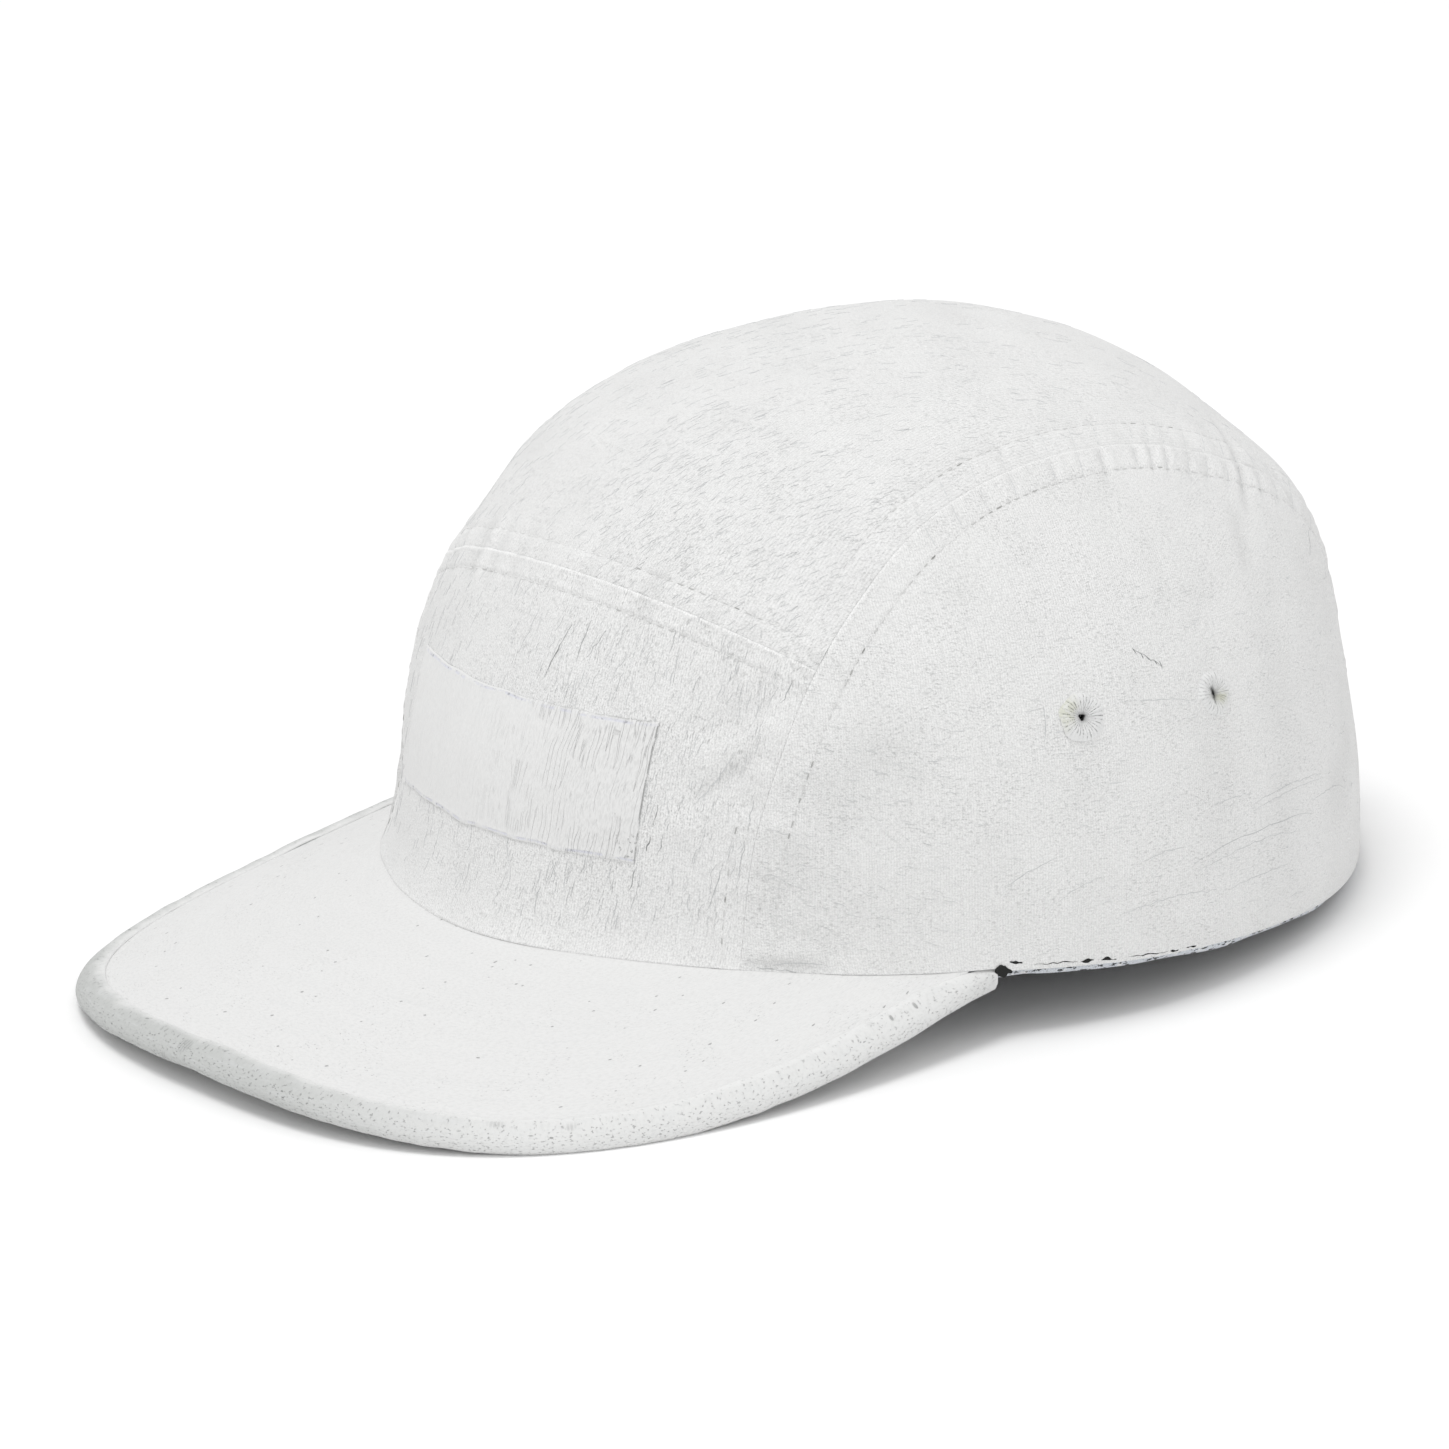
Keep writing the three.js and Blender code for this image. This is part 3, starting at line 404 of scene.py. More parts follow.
def crown_radius(around, height):
    share = np.clip(height / DOME_HEIGHT, 0, 1)
    level = share ** (1 / quarter_value("rise", around))
    draw = lerp(quarter_value("draw", around), 1.0, level**TOP_EASE)
    closing = np.sqrt(np.clip(1 - level * level, 0, 1)) ** draw
    return plan_radius(around, level) * closing * (1 - quarter_value("lean", around) * level)


def crown_at(around, height):
    around, height = np.broadcast_arrays(np.asarray(around, float), np.asarray(height, float))
    radius = crown_radius(around, height)
    back = dome_shift(height) - radius * np.cos(around)
    return np.stack([radius * np.sin(around), back, height], -1)


def around_of(points):
    return np.arctan2(points[..., 0], dome_shift(points[..., 2]) - points[..., 1])


def crown_depth(points):
    """Positive inside the smooth crown."""
    back = points[..., 1] - dome_shift(points[..., 2])
    radius = crown_radius(np.arctan2(points[..., 0], -back), points[..., 2])
    return radius - np.hypot(points[..., 0], back)


def crown_normal(points):
    step = 0.05
    slope = [
        crown_depth(points - axis * step) - crown_depth(points + axis * step)
        for axis in np.eye(3)
    ]
    return unit(np.stack(slope, -1))


def meet_crown(start, direction):
    start, direction = np.broadcast_arrays(start, direction)
    near = np.zeros(direction.shape[:-1])
    far = np.full(direction.shape[:-1], 200.0)
    for _ in range(27):
        middle = (near + far) / 2
        inside = crown_depth(start + direction * middle[..., None]) > 0
        near = np.where(inside, middle, near)
        far = np.where(inside, far, middle)
    return start + direction * near[..., None]


def make_swellings():
    rows = []
    for _, around, height, wide, tall, out in SWELLINGS:
        centre = crown_at(math.radians(around), height)
        normal = crown_normal(centre)
        along = unit(np.cross(UP, normal))
        rows.append((centre, along / wide, np.cross(normal, along) / tall, normal / SWELLING_DEPTH, out))
    return rows


SWELLING_ROWS = make_swellings()


def swelling(points):
    out = np.zeros(points.shape[:-1])
    for centre, along, rise, through, height in SWELLING_ROWS:
        offset = points - centre
        spread = (offset @ along) ** 2 + (offset @ rise) ** 2 + (offset @ through) ** 2
        out += height * np.exp(-spread)
    return out


# Peak's top surface, and the rim that follows it


def flare_at(around):
    return FOOT_FLARE * np.maximum(np.cos(around), 0)


def rim_outward(around):
    base = crown_at(around, 0.0)
    outward = crown_normal(base)
    outward[..., 2] = 0
    return base, unit(outward)


def peak_end_point():
    base, outward = rim_outward(math.radians(PEAK_CORNER))
    return base + outward * flare_at(math.radians(PEAK_CORNER))


PEAK_END = peak_end_point()


def peak_height(x, y):
    across = np.abs(x / PEAK_END[0]) ** PEAK_ARCH_POWER
    return PEAK_ARCH * (1 - across) - PEAK_SLOPE * (PEAK_END[1] - y)


def rim_point(around, gap=GAP):
    around = np.asarray(around, float)
    base, outward = rim_outward(around)
    point = base + outward * flare_at(around)[..., None]
    inside = point - outward * CLOTH
    height = np.maximum(
        peak_height(point[..., 0], point[..., 1]), peak_height(inside[..., 0], inside[..., 1])
    )
    on_peak = np.abs(around) < math.radians(PEAK_CORNER)
    point[..., 2] = np.where(on_peak, height + gap, 0.0)
    return point, outward


RIM_AROUND = np.linspace(-math.pi, math.pi, 1441)
RIM_HEIGHT = rim_point(RIM_AROUND)[0][:, 2]


def crown_cloth(start, direction):
    """Points of the crown with its swellings and flared foot, and the smooth crown's normals there."""
    base = meet_crown(start, direction)
    normal = crown_normal(base)
    around = around_of(base)
    foot = np.interp(around, RIM_AROUND, RIM_HEIGHT)
    flare = flare_at(around) * np.exp(-(base[..., 2] - foot) / FOOT_FLARE_HEIGHT)
    return base + normal * (swelling(base) + flare)[..., None], normal


# Seams as paths over the crown


class Path:
    """A curve over the cloth: points and normals, read by share of its length."""

    def __init__(self, points, normals):
        self.points = points
        self.normals = normals
        self.lengths = run_along(points)
        self.length = self.lengths[-1]
        self.tangents = unit(np.gradient(points, axis=0))

    def at(self, shares):
        wanted = np.asarray(shares) * self.length
        points, normals = (
            np.stack([np.interp(wanted, self.lengths, values[:, k]) for k in range(3)], -1)
            for values in (self.points, self.normals)
        )
        return points, unit(normals)

    def part(self, start, end):
        return Path(self.points[start:end], self.normals[start:end])

    def mirrored(self):
        return Path(self.points * MIRROR, self.normals * MIRROR)

    def near(self, points):
        """How far each point lies from the curve, and at which length of it."""
        tree = KDTree(len(self.points))
        for i, point in enumerate(self.points):
            tree.insert(point, i)
        tree.balance()
        spots = flat(points)
        index = np.array([tree.find(point)[1] for point in spots])
        offset = spots - self.points[index]
        along = (offset * self.tangents[index]).sum(-1)
        across = np.linalg.norm(offset - self.tangents[index] * along[:, None], axis=-1)
        shape = points.shape[:-1]
        return across.reshape(shape), (self.lengths[index] + along).reshape(shape)


def seam_out(turn):
    """Smooth curve through the rows of the side seam's table."""
    turns, outs = np.array(SIDE_SEAM, float).T
    last = len(turns) - 1
    before = np.clip(np.arange(last + 1) - 1, 0, last)
    after = np.clip(np.arange(last + 1) + 1, 0, last)
    slopes = (outs[after] - outs[before]) / (turns[after] - turns[before])
    i = np.clip(np.searchsorted(turns, turn, side="left") - 1, 0, last - 1)
    width = turns[i + 1] - turns[i]
    share = (turn - turns[i]) / width
    s2, s3 = share**2, share**3
    return (
        (2 * s3 - 3 * s2 + 1) * outs[i]
        + (s3 - 2 * s2 + share) * width * slopes[i]
        + (3 * s2 - 2 * s3) * outs[i + 1]
        + (s3 - s2) * width * slopes[i + 1]
    )


def side_seam(turns):
    angles = np.radians(turns)
    start = np.stack([seam_out(turns), 0 * turns, 0 * turns], -1)
    direction = np.stack([0 * turns, -np.cos(angles), np.sin(angles)], -1)
    points, normals = crown_cloth(start, direction)
    ends = (turns <= 0) | (turns >= 180)
    foot = meet_crown(start[ends], direction[ends])
    points[ends], normals[ends] = rim_point(around_of(foot), SEAM_GAP)
    return points, normals


def cross_height(around):
    share = np.abs(around) / math.radians(CROSS_SEAM_SIDE)
    return CROSS_SEAM_HEIGHT - CROSS_SEAM_DROP * share**CROSS_SEAM_POWER


SEAM_TURNS = np.linspace(0, 180, 1201)
LEFT_SEAM = Path(*side_seam(SEAM_TURNS))
RIGHT_SEAM = LEFT_SEAM.mirrored()
SEAM_AROUND = around_of(LEFT_SEAM.points)
JUNCTION = int(np.argmax(LEFT_SEAM.points[:, 2] > cross_height(SEAM_AROUND)))


def make_cross_seam():
    around = np.linspace(-SEAM_AROUND[JUNCTION], SEAM_AROUND[JUNCTION], 401)
    direction = unit(crown_at(around, cross_height(around)))
    points, normals = crown_cloth(CENTRE, direction)
    points[0] = RIGHT_SEAM.points[JUNCTION]
    points[-1] = LEFT_SEAM.points[JUNCTION]
    return Path(points, normals)


CROSS_SEAM = make_cross_seam()


def rim_path(start, end):
    return Path(*rim_point(np.linspace(start, end, 601), SEAM_GAP))


def fill_between(foot, head, first, last):
    """Joins four edges smoothly and lays the result on the crown. Each edge is points, normals."""
    (foot, foot_normals), (head, head_normals) = foot, head
    (first, first_normals), (last, last_normals) = first, last
    v = np.linspace(0, 1, len(first))[:, None, None]
    u = np.linspace(0, 1, len(foot))[None, :, None]
    guess = (
        foot[None] * (1 - v) + head[None] * v + first[:, None] * (1 - u) + last[:, None] * u
        - foot[0] * (1 - u) * (1 - v) - foot[-1] * u * (1 - v)
        - head[0] * (1 - u) * v - head[-1] * u * v
    )
    points, normals = crown_cloth(CENTRE, unit(guess))
    points[0], normals[0] = foot, foot_normals
    points[-1], normals[-1] = head, head_normals
    points[:, 0], normals[:, 0] = first, first_normals
    points[:, -1], normals[:, -1] = last, last_normals
    return points, normals


# Meshes


def rest_direction(vectors):
    """From the axes of the level rim to those of the cap at rest."""
    c, s = math.cos(REST_TILT), math.sin(REST_TILT)
    return vectors @ np.array([[1, 0, 0], [0, c, -s], [0, s, c]]).T


def rest(points):
    """From millimetres with the rim level to metres with the cap at rest."""
    return (rest_direction(points) + np.array(REST_PLACE)) / MM


def grid_faces(rows, columns, closed=False):
    r, c = np.meshgrid(np.arange(rows - 1), np.arange(columns if closed else columns - 1), indexing="ij")
    a = (r * columns + c).ravel()
    b = (r * columns + (c + 1) % columns).ravel()
    return np.stack([a, b, b + columns, a + columns], -1)


def ring_faces(count, around):
    """Faces between closed rings, the last of which meets the first."""
    return grid_faces(count + 1, around, closed=True) % (count * around)


def thick(points, normals, faces, thickness):
    """Gives a sheet its wall: a second layer inwards and a strip round every open edge."""
    count = len(points)
    layers = np.concatenate([points, points - normals * np.asarray(thickness)[..., None]])
    edges = np.concatenate([faces[:, [k, (k + 1) % 4]] for k in range(4)])
    edges = edges[edges[:, 0] != edges[:, 1]]
    keys = np.sort(edges, 1)
    _, first, counts = np.unique(keys, axis=0, return_index=True, return_counts=True)
    rim = edges[first[counts == 1]]
    walls = np.stack([rim[:, 1], rim[:, 0], rim[:, 0] + count, rim[:, 1] + count], -1)
    inner = faces[:, ::-1] + count
    kinds = np.repeat([0, 1, 0], [len(faces), len(inner), len(walls)])
    return layers, np.concatenate([faces, inner, walls]), kinds


def held_volume(points, faces):
    """Six times the volume that closed faces hold, negative where they point inwards."""
    a, b, c, d = (points[faces[:, k]] for k in range(4))
    first = (a * np.cross(b, c)).sum()
    return first + (a * np.cross(c, d)).sum()


def add_object(name, data):
    made = bpy.data.objects.new(name, data)
    bpy.context.scene.collection.objects.link(made)
    return made


def make_mesh(name, points, faces, materials, kinds=None, maps=None, masks=None):
    """A piece from points in millimetres and faces of four corners, the first kind outermost."""
    placed = rest(points)
    placed[:, 2] = np.maximum(placed[:, 2], 0)
    if held_volume(placed, faces) < 0:
        faces = faces[:, ::-1]
    mesh = bpy.data.meshes.new(name)
    corners = [tuple(dict.fromkeys(face)) for face in faces.tolist()]
    kept = [i for i, face in enumerate(corners) if len(face) > 2]
    mesh.from_pydata(placed.tolist(), [], [corners[i] for i in kept])
    index = np.zeros(len(mesh.loops), int)
    mesh.loops.foreach_get("vertex_index", index)
    for label, values in (maps or {}).items():
        layer = mesh.uv_layers.new(name=label)
        layer.data.foreach_set("uv", np.asarray(values, np.float32)[index].ravel())
    for label, values in (masks or {}).items():
        layer = mesh.attributes.new(label, "FLOAT", "POINT")
        layer.data.foreach_set("value", np.asarray(values, np.float32).ravel())
    for material in materials:
        mesh.materials.append(material)
    if kinds is not None:
        mesh.polygons.foreach_set("material_index", np.asarray(kinds, np.int32)[kept])
    mesh.shade_smooth()
    mesh.set_sharp_from_angle(angle=math.radians(SHARP_ANGLE))
    mesh.validate()
    mesh.update()
    return add_object(name, mesh)


def settle(piece, slot, *nodes):
    """Fastens a finished piece to the cap and hides the solids that it stands for."""
    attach(piece, "root")
    if nodes:
        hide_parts(*nodes)


# Relief of the sewn cloth, and the shade and highlight painted on it

SEAM_LAYERS = 0.22  # how far the doubled cloth beside a seam stands up
SIDE_ROW = 5.7  # how far the stitches lie from the side seams
CROSS_ROW = 4.2  # and from the cross seam
ARCH_ROW = 5.0  # and from the edge of the arched opening
FRONT_ROW = 3.9  # and, on the front panel, from the side seams

# Gathers across the side seams, in millimetres along them from their front foot: place at the seam,
# width across the fold, depth and how far it runs down the side panel and up the top panel
# The depth also paints shade in each gather's hollow and light on its pads, and sets how dark the line of
# painted shade in the hollow is.
PUCKERS = (
    (91.0, 0.8, 0.25, 5.0, 4.0),
    (98.3, 0.7, 0.45, 5.0, 5.0),
    (105.5, 0.7, 0.30, 5.0, 5.0),
    (112.9, 0.7, 0.40, 5.0, 5.0),
    (123.2, 0.7, 0.45, 6.0, 7.0),
    (130.0, 0.7, 0.40, 6.0, 5.0),
    (135.8, 0.7, 0.60, 7.0, 9.0),
    (144.4, 0.6, 0.50, 5.0, 5.0),
    (148.4, 0.6, 0.65, 6.5, 7.0),
    (152.2, 0.6, 0.60, 6.5, 8.0),
    (158.1, 0.7, 0.45, 7.0, 6.0),
    (163.2, 0.7, 0.40, 7.0, 6.0),
    (168.8, 0.8, 0.35, 9.0, 6.0),
    (173.4, 1.3, 0.85, 12.0, 13.0),
    (179.0, 0.9, 0.35, 8.0, 8.0),
    (185.0, 0.9, 0.30, 8.0, 8.0),
    (192.0, 1.0, 0.30, 8.0, 9.0),
    (200.0, 1.1, 0.30, 9.0, 9.0),
    (213.0, 1.4, 0.40, 10.0, 9.0),
)
GATHER_LEAN = 0.4  # how far along the seam a gather moves for each millimetre up from it

# Soft folds away from the seams: start, end, width and depth. The depth also paints shade in a fold's
# hollow and light on its ridge.
FOLDS = (
    ("front_ridge", (53, -66, 45), (48, -72, 40), 2.6, -0.50),
    ("front_ridge_low", (48, -72, 40), (39, -79, 36), 2.6, -0.50),
    ("front_crease", (50, -71, 39), (42, -79, 28), 1.4, 0.36),
    ("front_bulge", (37, -83, 25), (44, -78, 24), 3.0, -0.45),
    ("corner_bulge", (53, -71, 27), (60, -65, 26), 3.0, -0.40),
    ("side_hollow", (66, -53, 43), (60, -65, 25), 6.0, 0.30),
    ("foot_crease", (53, -77, 0.3), (64, -65.5, 0.3), 1.3, 0.60),
    ("side_crease", (66, 6, 76), (78, 2, 58), 2.0, 0.14),
    ("side_crease_rear", (62, 33, 74), (72, 28, 62), 2.0, 0.40),
    ("side_drop", (72, 32, 64), (88, 22, 8), 6.0, 0.22),
    ("side_drop_front", (76, 8, 64), (90, 6, 10), 6.0, 0.18),
    ("rear_low", (80, 45, 18), (70, 62, 30), 6.0, 0.35),
)


def seam_profile(distance, inset, over):
    """Height and painted shade beside a seam. The panel that lies over has a crisp lip, painted light;
    the other dips, painted darker.
    """
    from_row = distance - inset
    height = SEAM_LAYERS * (1 - smooth(from_row / 1.6 + 0.5)) - 0.20 * bell(from_row, 0.5)
    shade = 0.22 * bell(from_row, 0.4) - 0.22 * bell(from_row + 0.9, 0.5)
    if over:
        height += 0.10 * bell(distance - 0.6, 0.45) - 0.10 * np.exp(-distance / 0.12)
        shade -= 1.5 * bell(distance - 0.2, 0.30)
    else:
        height -= 0.16 * np.exp(-distance / 1.5)
        shade += 0.35 * np.exp(-distance / 0.5)
    return height, shade


def pucker_profile(across, along, on_side):
    """Depth of the gathers, about from -1 to 1: narrow hollows between soft pads."""
    out = np.zeros(np.broadcast(across, along).shape)
    for place, width, depth, down, up in PUCKERS:
        reach = down if on_side else up
        offset = along - place + (GATHER_LEAN if on_side else -GATHER_LEAN) * across
        pads = bell(offset - 2.6 * width, 1.5 * width) + bell(offset + 2.6 * width, 1.5 * width)
        fold = bell(offset, width) - 0.5 * pads
        fading = np.exp(-((across / reach) ** 4)) * smooth(across / 0.8)
        out += depth * fold * fading * (1.0 if on_side or depth > 0.8 else 0.4)
    return out


def small_puckers(across, along, seed):
    """Slight gathers all along a sewn seam."""
    line = np.stack([along, 0.2 * across, 0 * along], -1)
    return waves(line, 5.0, seed, 9) * bell(across - 2.6, 4.0)


def fold_depth(points):
    out = np.zeros(points.shape[:-1])
    for _, start, end, width, depth in FOLDS:
        start, end = np.array(start, float), np.array(end, float)
        run = end - start
        share = ((points - start) @ run) / (run @ run)
        foot = start + np.clip(share, 0, 1)[..., None] * run
        distance = np.linalg.norm(points - foot, axis=-1)
        ends = smooth(1.5 - 1.5 * np.abs(2 * share - 1) / 1.3)
        out += depth * (bell(distance, width) - 0.3 * bell(distance - 2.2 * width, width)) * ends
    return out


def relief(points, panel, looks):
    """Height of the sewn cloth over the smooth crown in millimetres, and the shade painted there with
    some uneven tone: above 0 painted shade in hollows, below 0 painted highlight on ridges and lips.
    """
    height = looks.unevenness * MM * (waves(points, 46, 3) + 0.35 * waves(points, 17, 5))
    shade = -0.12 * waves(points, 17, 5) - 0.07 * waves(points, 8, 6)
    seams = {"left": [LEFT_SEAM], "right": [RIGHT_SEAM]}.get(panel, [LEFT_SEAM, RIGHT_SEAM, CROSS_SEAM])
    on_side = panel in ("left", "right")
    for seed, seam in enumerate(seams):
        across, along = seam.near(points)
        inset = CROSS_ROW if seam is CROSS_SEAM else SIDE_ROW
        over = on_side or (seam is CROSS_SEAM and panel == "front")
        buried = 0.35 + 0.65 * smooth((points[..., 2] - 34) / 16) if seam is not CROSS_SEAM else 1.0
        rise, dark = seam_profile(across, inset, over)
        rise, dark = rise * buried, dark * buried
        gather = 0.5 * small_puckers(across, along, 20 + seed)
        if seam is not CROSS_SEAM:
            gather = 0.5 * gather + pucker_profile(across, along, on_side)
        height += looks.seam_depth * MM * rise - looks.puckers * 0.75 * gather
        # painted shade in the seams' dips and the gathers' hollows, painted highlight on the lips and
        # pads
        shade += dark + 0.9 * looks.puckers * gather
    if panel == "top":
        rise, dark = seam_profile(ARCH.near(points)[0], ARCH_ROW, True)
        height += looks.seam_depth * MM * rise
        shade += dark
    fold = fold_depth(points)
    foot = np.interp(around_of(points), RIM_AROUND, RIM_HEIGHT)
    over_foot = np.maximum(points[..., 2] - foot, 0)
    off_peak = smooth((np.abs(np.degrees(around_of(points))) - PEAK_CORNER) / 4)
    height -= 0.25 * off_peak * np.exp(-over_foot / 0.5) + looks.puckers * fold
    if panel == "front":
        # painted light along the foot of the front
        shade -= FOOT_PAINTED_LIGHT * smooth(1.5 - over_foot / FOOT_PAINTED_LIGHT_HEIGHT)
    # the folds paint shade in their hollows and light on their ridges
    return height, np.clip(shade + 1.3 * fold, -1, 1)


def make_arch():
    """The edge of the opening at the back, from its right foot to its left one."""
    angles = np.linspace(math.pi, 0, 241)
    leg = np.linspace(0, ARCH_SPRING, 12)[:-1]
    side = np.full(len(leg), ARCH_HALF_WIDTH)
    x = np.concatenate([-side, ARCH_HALF_WIDTH * np.cos(angles), side])
    z = np.concatenate([leg, ARCH_SPRING + ARCH_HALF_WIDTH * np.sin(angles), leg[::-1]])
    start = np.stack([x, 0 * x, z], -1)
    return Path(*crown_cloth(start, BACKWARDS))


ARCH = make_arch()


def inside_arch(points):
    x, z = points[..., 0], points[..., 2]
    over = np.maximum(z - ARCH_SPRING, 0)
    return (points[..., 1] > 0) & (np.hypot(x, over) < ARCH_HALF_WIDTH)


def on_arch(points):
    """The nearest points of the arch's edge."""
    x, z = points[..., 0], points[..., 2]
    over = np.maximum(z - ARCH_SPRING, 0)
    reach = ARCH_HALF_WIDTH / np.maximum(np.hypot(x, over), 1e-6)
    start = np.stack([x * reach, 0 * x, np.where(over > 0, ARCH_SPRING + over * reach, z)], -1)
    return crown_cloth(start, BACKWARDS)


# Shader nodes


class Value:
    """A number or vector in a material's nodes, with the usual operators."""

    def __init__(self, board, socket):
        self.board = board
        self.socket = socket

    def __add__(self, other):
        return self.board.maths("ADD", self, other)

    __radd__ = __add__

    def __sub__(self, other):
        return self.board.maths("SUBTRACT", self, other)

    def __rsub__(self, other):
        return self.board.maths("SUBTRACT", other, self)

    def __mul__(self, other):
        return self.board.maths("MULTIPLY", self, other)

    __rmul__ = __mul__

    def __truediv__(self, other):
        return self.board.maths("DIVIDE", self, other)

    def __abs__(self):
        return self.board.maths("ABSOLUTE", self)

    def sine(self):
        return self.board.maths("SINE", self)

    def low(self, other):
        return self.board.maths("MINIMUM", self, other)

    def high(self, other):
        return self.board.maths("MAXIMUM", self, other)

    def rise(self, start, end):
        """Goes smoothly from 0 to 1 as the value goes from start to end."""
        settings = {"interpolation_type": "SMOOTHSTEP"}
        return self.board.node(
            "ShaderNodeMapRange", settings, {"Value": self, "From Min": start, "From Max": end}
        )["Result"]

    def fall(self, start, end):
        return 1 - self.rise(start, end)


class Board:
    """A material and its nodes."""

    def __init__(self, name):
        self.material = bpy.data.materials.new(name)
        self.material.use_nodes = True
        self.tree = self.material.node_tree
        self.tree.nodes.clear()
        self.offset = 0.0

    def node(self, kind, settings=None, inputs=None):
        """Adds a node and returns its outputs by name."""
        made = self.tree.nodes.new(kind)
        for key, value in (settings or {}).items():
            setattr(made, key, value)
        for key, value in (inputs or {}).items():
            socket = made.inputs[key]
            if isinstance(value, Value):
                self.tree.links.new(value.socket, socket)
            else:
                socket.default_value = value
        return {output.name: Value(self, output) for output in made.outputs if output.enabled}

    def maths(self, operation, *values):
        made = self.node("ShaderNodeMath", {"operation": operation}, dict(enumerate(values)))
        return made["Value"]

    def vector(self, x, y, z=0.0):
        return self.node("ShaderNodeCombineXYZ", None, {"X": x, "Y": y, "Z": z})["Vector"]

    def parts(self, vector):
        made = self.node("ShaderNodeSeparateXYZ", None, {"Vector": vector})
        return made["X"], made["Y"], made["Z"]

    def map(self, name):
        """A UV map's two coordinates, in millimetres of cloth."""
        x, y, _ = self.parts(self.node("ShaderNodeUVMap", {"uv_map": name})["UV"])
        return x, y

    def mask(self, name):
        return self.node("ShaderNodeAttribute", {"attribute_name": name})["Fac"]

    def place(self):
        """Coordinates of the object in millimetres."""
        made = self.node("ShaderNodeTexCoord")["Object"]
        return self.node(
            "ShaderNodeVectorMath", {"operation": "SCALE"}, {"Vector": made, "Scale": MM}
        )["Vector"]

    def noise(self, vector, size, detail=2.0, rough=0.5):
        """Noise from 0 to 1 with features of about the given size."""
        inputs = {"Vector": vector, "Scale": 1 / size, "Detail": detail, "Roughness": rough}
        return self.node("ShaderNodeTexNoise", None, inputs)["Fac"]

    def cells(self, vector, size):
        """Distance to the nearest of scattered points, and a number of its own for each of them."""
        inputs = {"Vector": vector, "Scale": 1 / size}
        made = self.node("ShaderNodeTexVoronoi", None, inputs)
        return made["Distance"], self.parts(made["Color"])[0]

    def colour(self, factor, first, second):
        """Mixes two colours by a factor from 0 to 1."""
        first, second = (end if isinstance(end, Value) else (*end, 1.0) for end in (first, second))
        made = self.node("ShaderNodeMix", {"data_type": "RGBA"}, {0: factor, 6: first, 7: second})
        return made["Result"]

    def dashes(self, across, along, wide, long, share):
        """Short thin lines along one way: cells of wide by long hold them, and a share of these do."""
        self.offset += 37.7  # so that each set of lines reads another part of the noise
        wander = self.noise(self.vector(across, along, self.offset), 3.0) - 0.5
        spot = self.vector(across / wide + wander + self.offset, along / long)
        distance, own = self.cells(spot, 1.0)
        width = 0.07 + 0.09 * own
        return (distance / width).fall(0.6, 1.2) * own.rise(1 - share, 1.02 - share)

    def finish(self, colour, height, roughness, sheen=0.0, specular=0.3):
        """Ends in a shader; height is in millimetres."""
        bump = self.node("ShaderNodeBump", None, {"Strength": 1.0, "Distance": 1 / MM, "Height": height})
        inputs = {
            "Base Color": colour, "Roughness": roughness, "Normal": bump["Normal"],
            "Specular IOR Level": specular, "Sheen Weight": sheen, "Sheen Roughness": 0.6,
        }
        shader = self.node("ShaderNodeBsdfPrincipled", None, inputs)
        self.node("ShaderNodeOutputMaterial", None, {"Surface": shader["BSDF"]})
        return self.material


def dimmed(colour, share):
    return tuple(c * share for c in colour)


def painted_cloth(looks):
    """Brushed white paint over ribbed cloth, with painted shade in its hollows and painted highlight on
    its ridges and seams' lips.
    """
    board = Board("painted_cloth")
    u, v = board.map("UVMap")
    across, along = board.map("Strokes")
    place = board.place()
    soil, shade, rough = board.mask("soil"), board.mask("shade"), board.mask("rough")
    sway = (board.noise(place, 10.0, 2.0) - 0.5) * 3.0
    tone = board.noise(place, 20.0, 3.0)
    patchy = board.noise(place, 9.0, 3.0, 0.6).rise(0.36, 0.62)
    streak = board.noise(board.vector((across + sway) / 1.6, along / 14), 1.0, 3.0, 0.6)
    grain = board.noise(board.vector((across + sway) / 0.34, along / 0.95), 1.0, 1.5, 0.6)
    weave = board.noise(board.vector(u / 0.30, v / 0.36), 1.0, 1.0, 0.5)
    ribs = abs((u * (math.pi / 0.52) + sway * 1.5).sine())
    pits = grain.rise(0.54, 0.72) * (0.35 + 0.65 * patchy)
    blots = board.noise(place, 1.3, 3.0, 0.75).rise(0.50, 0.62)
    rub = (soil * (blots + 0.35 * grain.rise(0.4, 0.62))).low(1.0)
    height = 0.14 * streak + 0.20 * grain + 0.16 * weave + 0.06 * ribs - 0.1 * pits - 0.1 * rub
    paint = board.colour(tone, dimmed(looks.paint, 0.97), looks.paint)
    paint = board.colour((rough * 0.9 - 0.25).high(0.0), paint, looks.fresh_and_highlight)
    paint = board.colour((streak - 0.5).high(0.0) * 0.5, paint, looks.paint_shade)
    # painted highlight where the shade mask is below 0, on ridges, pads and seams' lips, near white on
    # the lips; the light grain is the paint's own
    light = (0 - shade).high(0.0) * 0.85 + grain.fall(0.3, 0.46) * rough * 0.35
    paint = board.colour(light, paint, looks.fresh_and_highlight)
    paint = board.colour((0 - shade).rise(0.75, 1.0) * 0.3, paint, (0.98, 0.98, 0.98))
    fine = pits * 0.22 + weave.rise(0.40, 0.66) * 0.17 + (1 - ribs) * 0.05 + grain.rise(0.4, 0.6) * 0.06
    # painted shade where the shade mask is above 0, in hollows, seams' dips and gathers; the fine dark
    # grain is the paint's own
    dark = shade.high(0.0) * 0.14 + fine * rough
    paint = board.colour(dark, paint, looks.dirt_and_shade)
    paint = board.colour(rub * 0.2, paint, looks.dirt_and_shade)
    return board.finish(paint, height, 0.80 + 0.16 * grain, sheen=0.05)


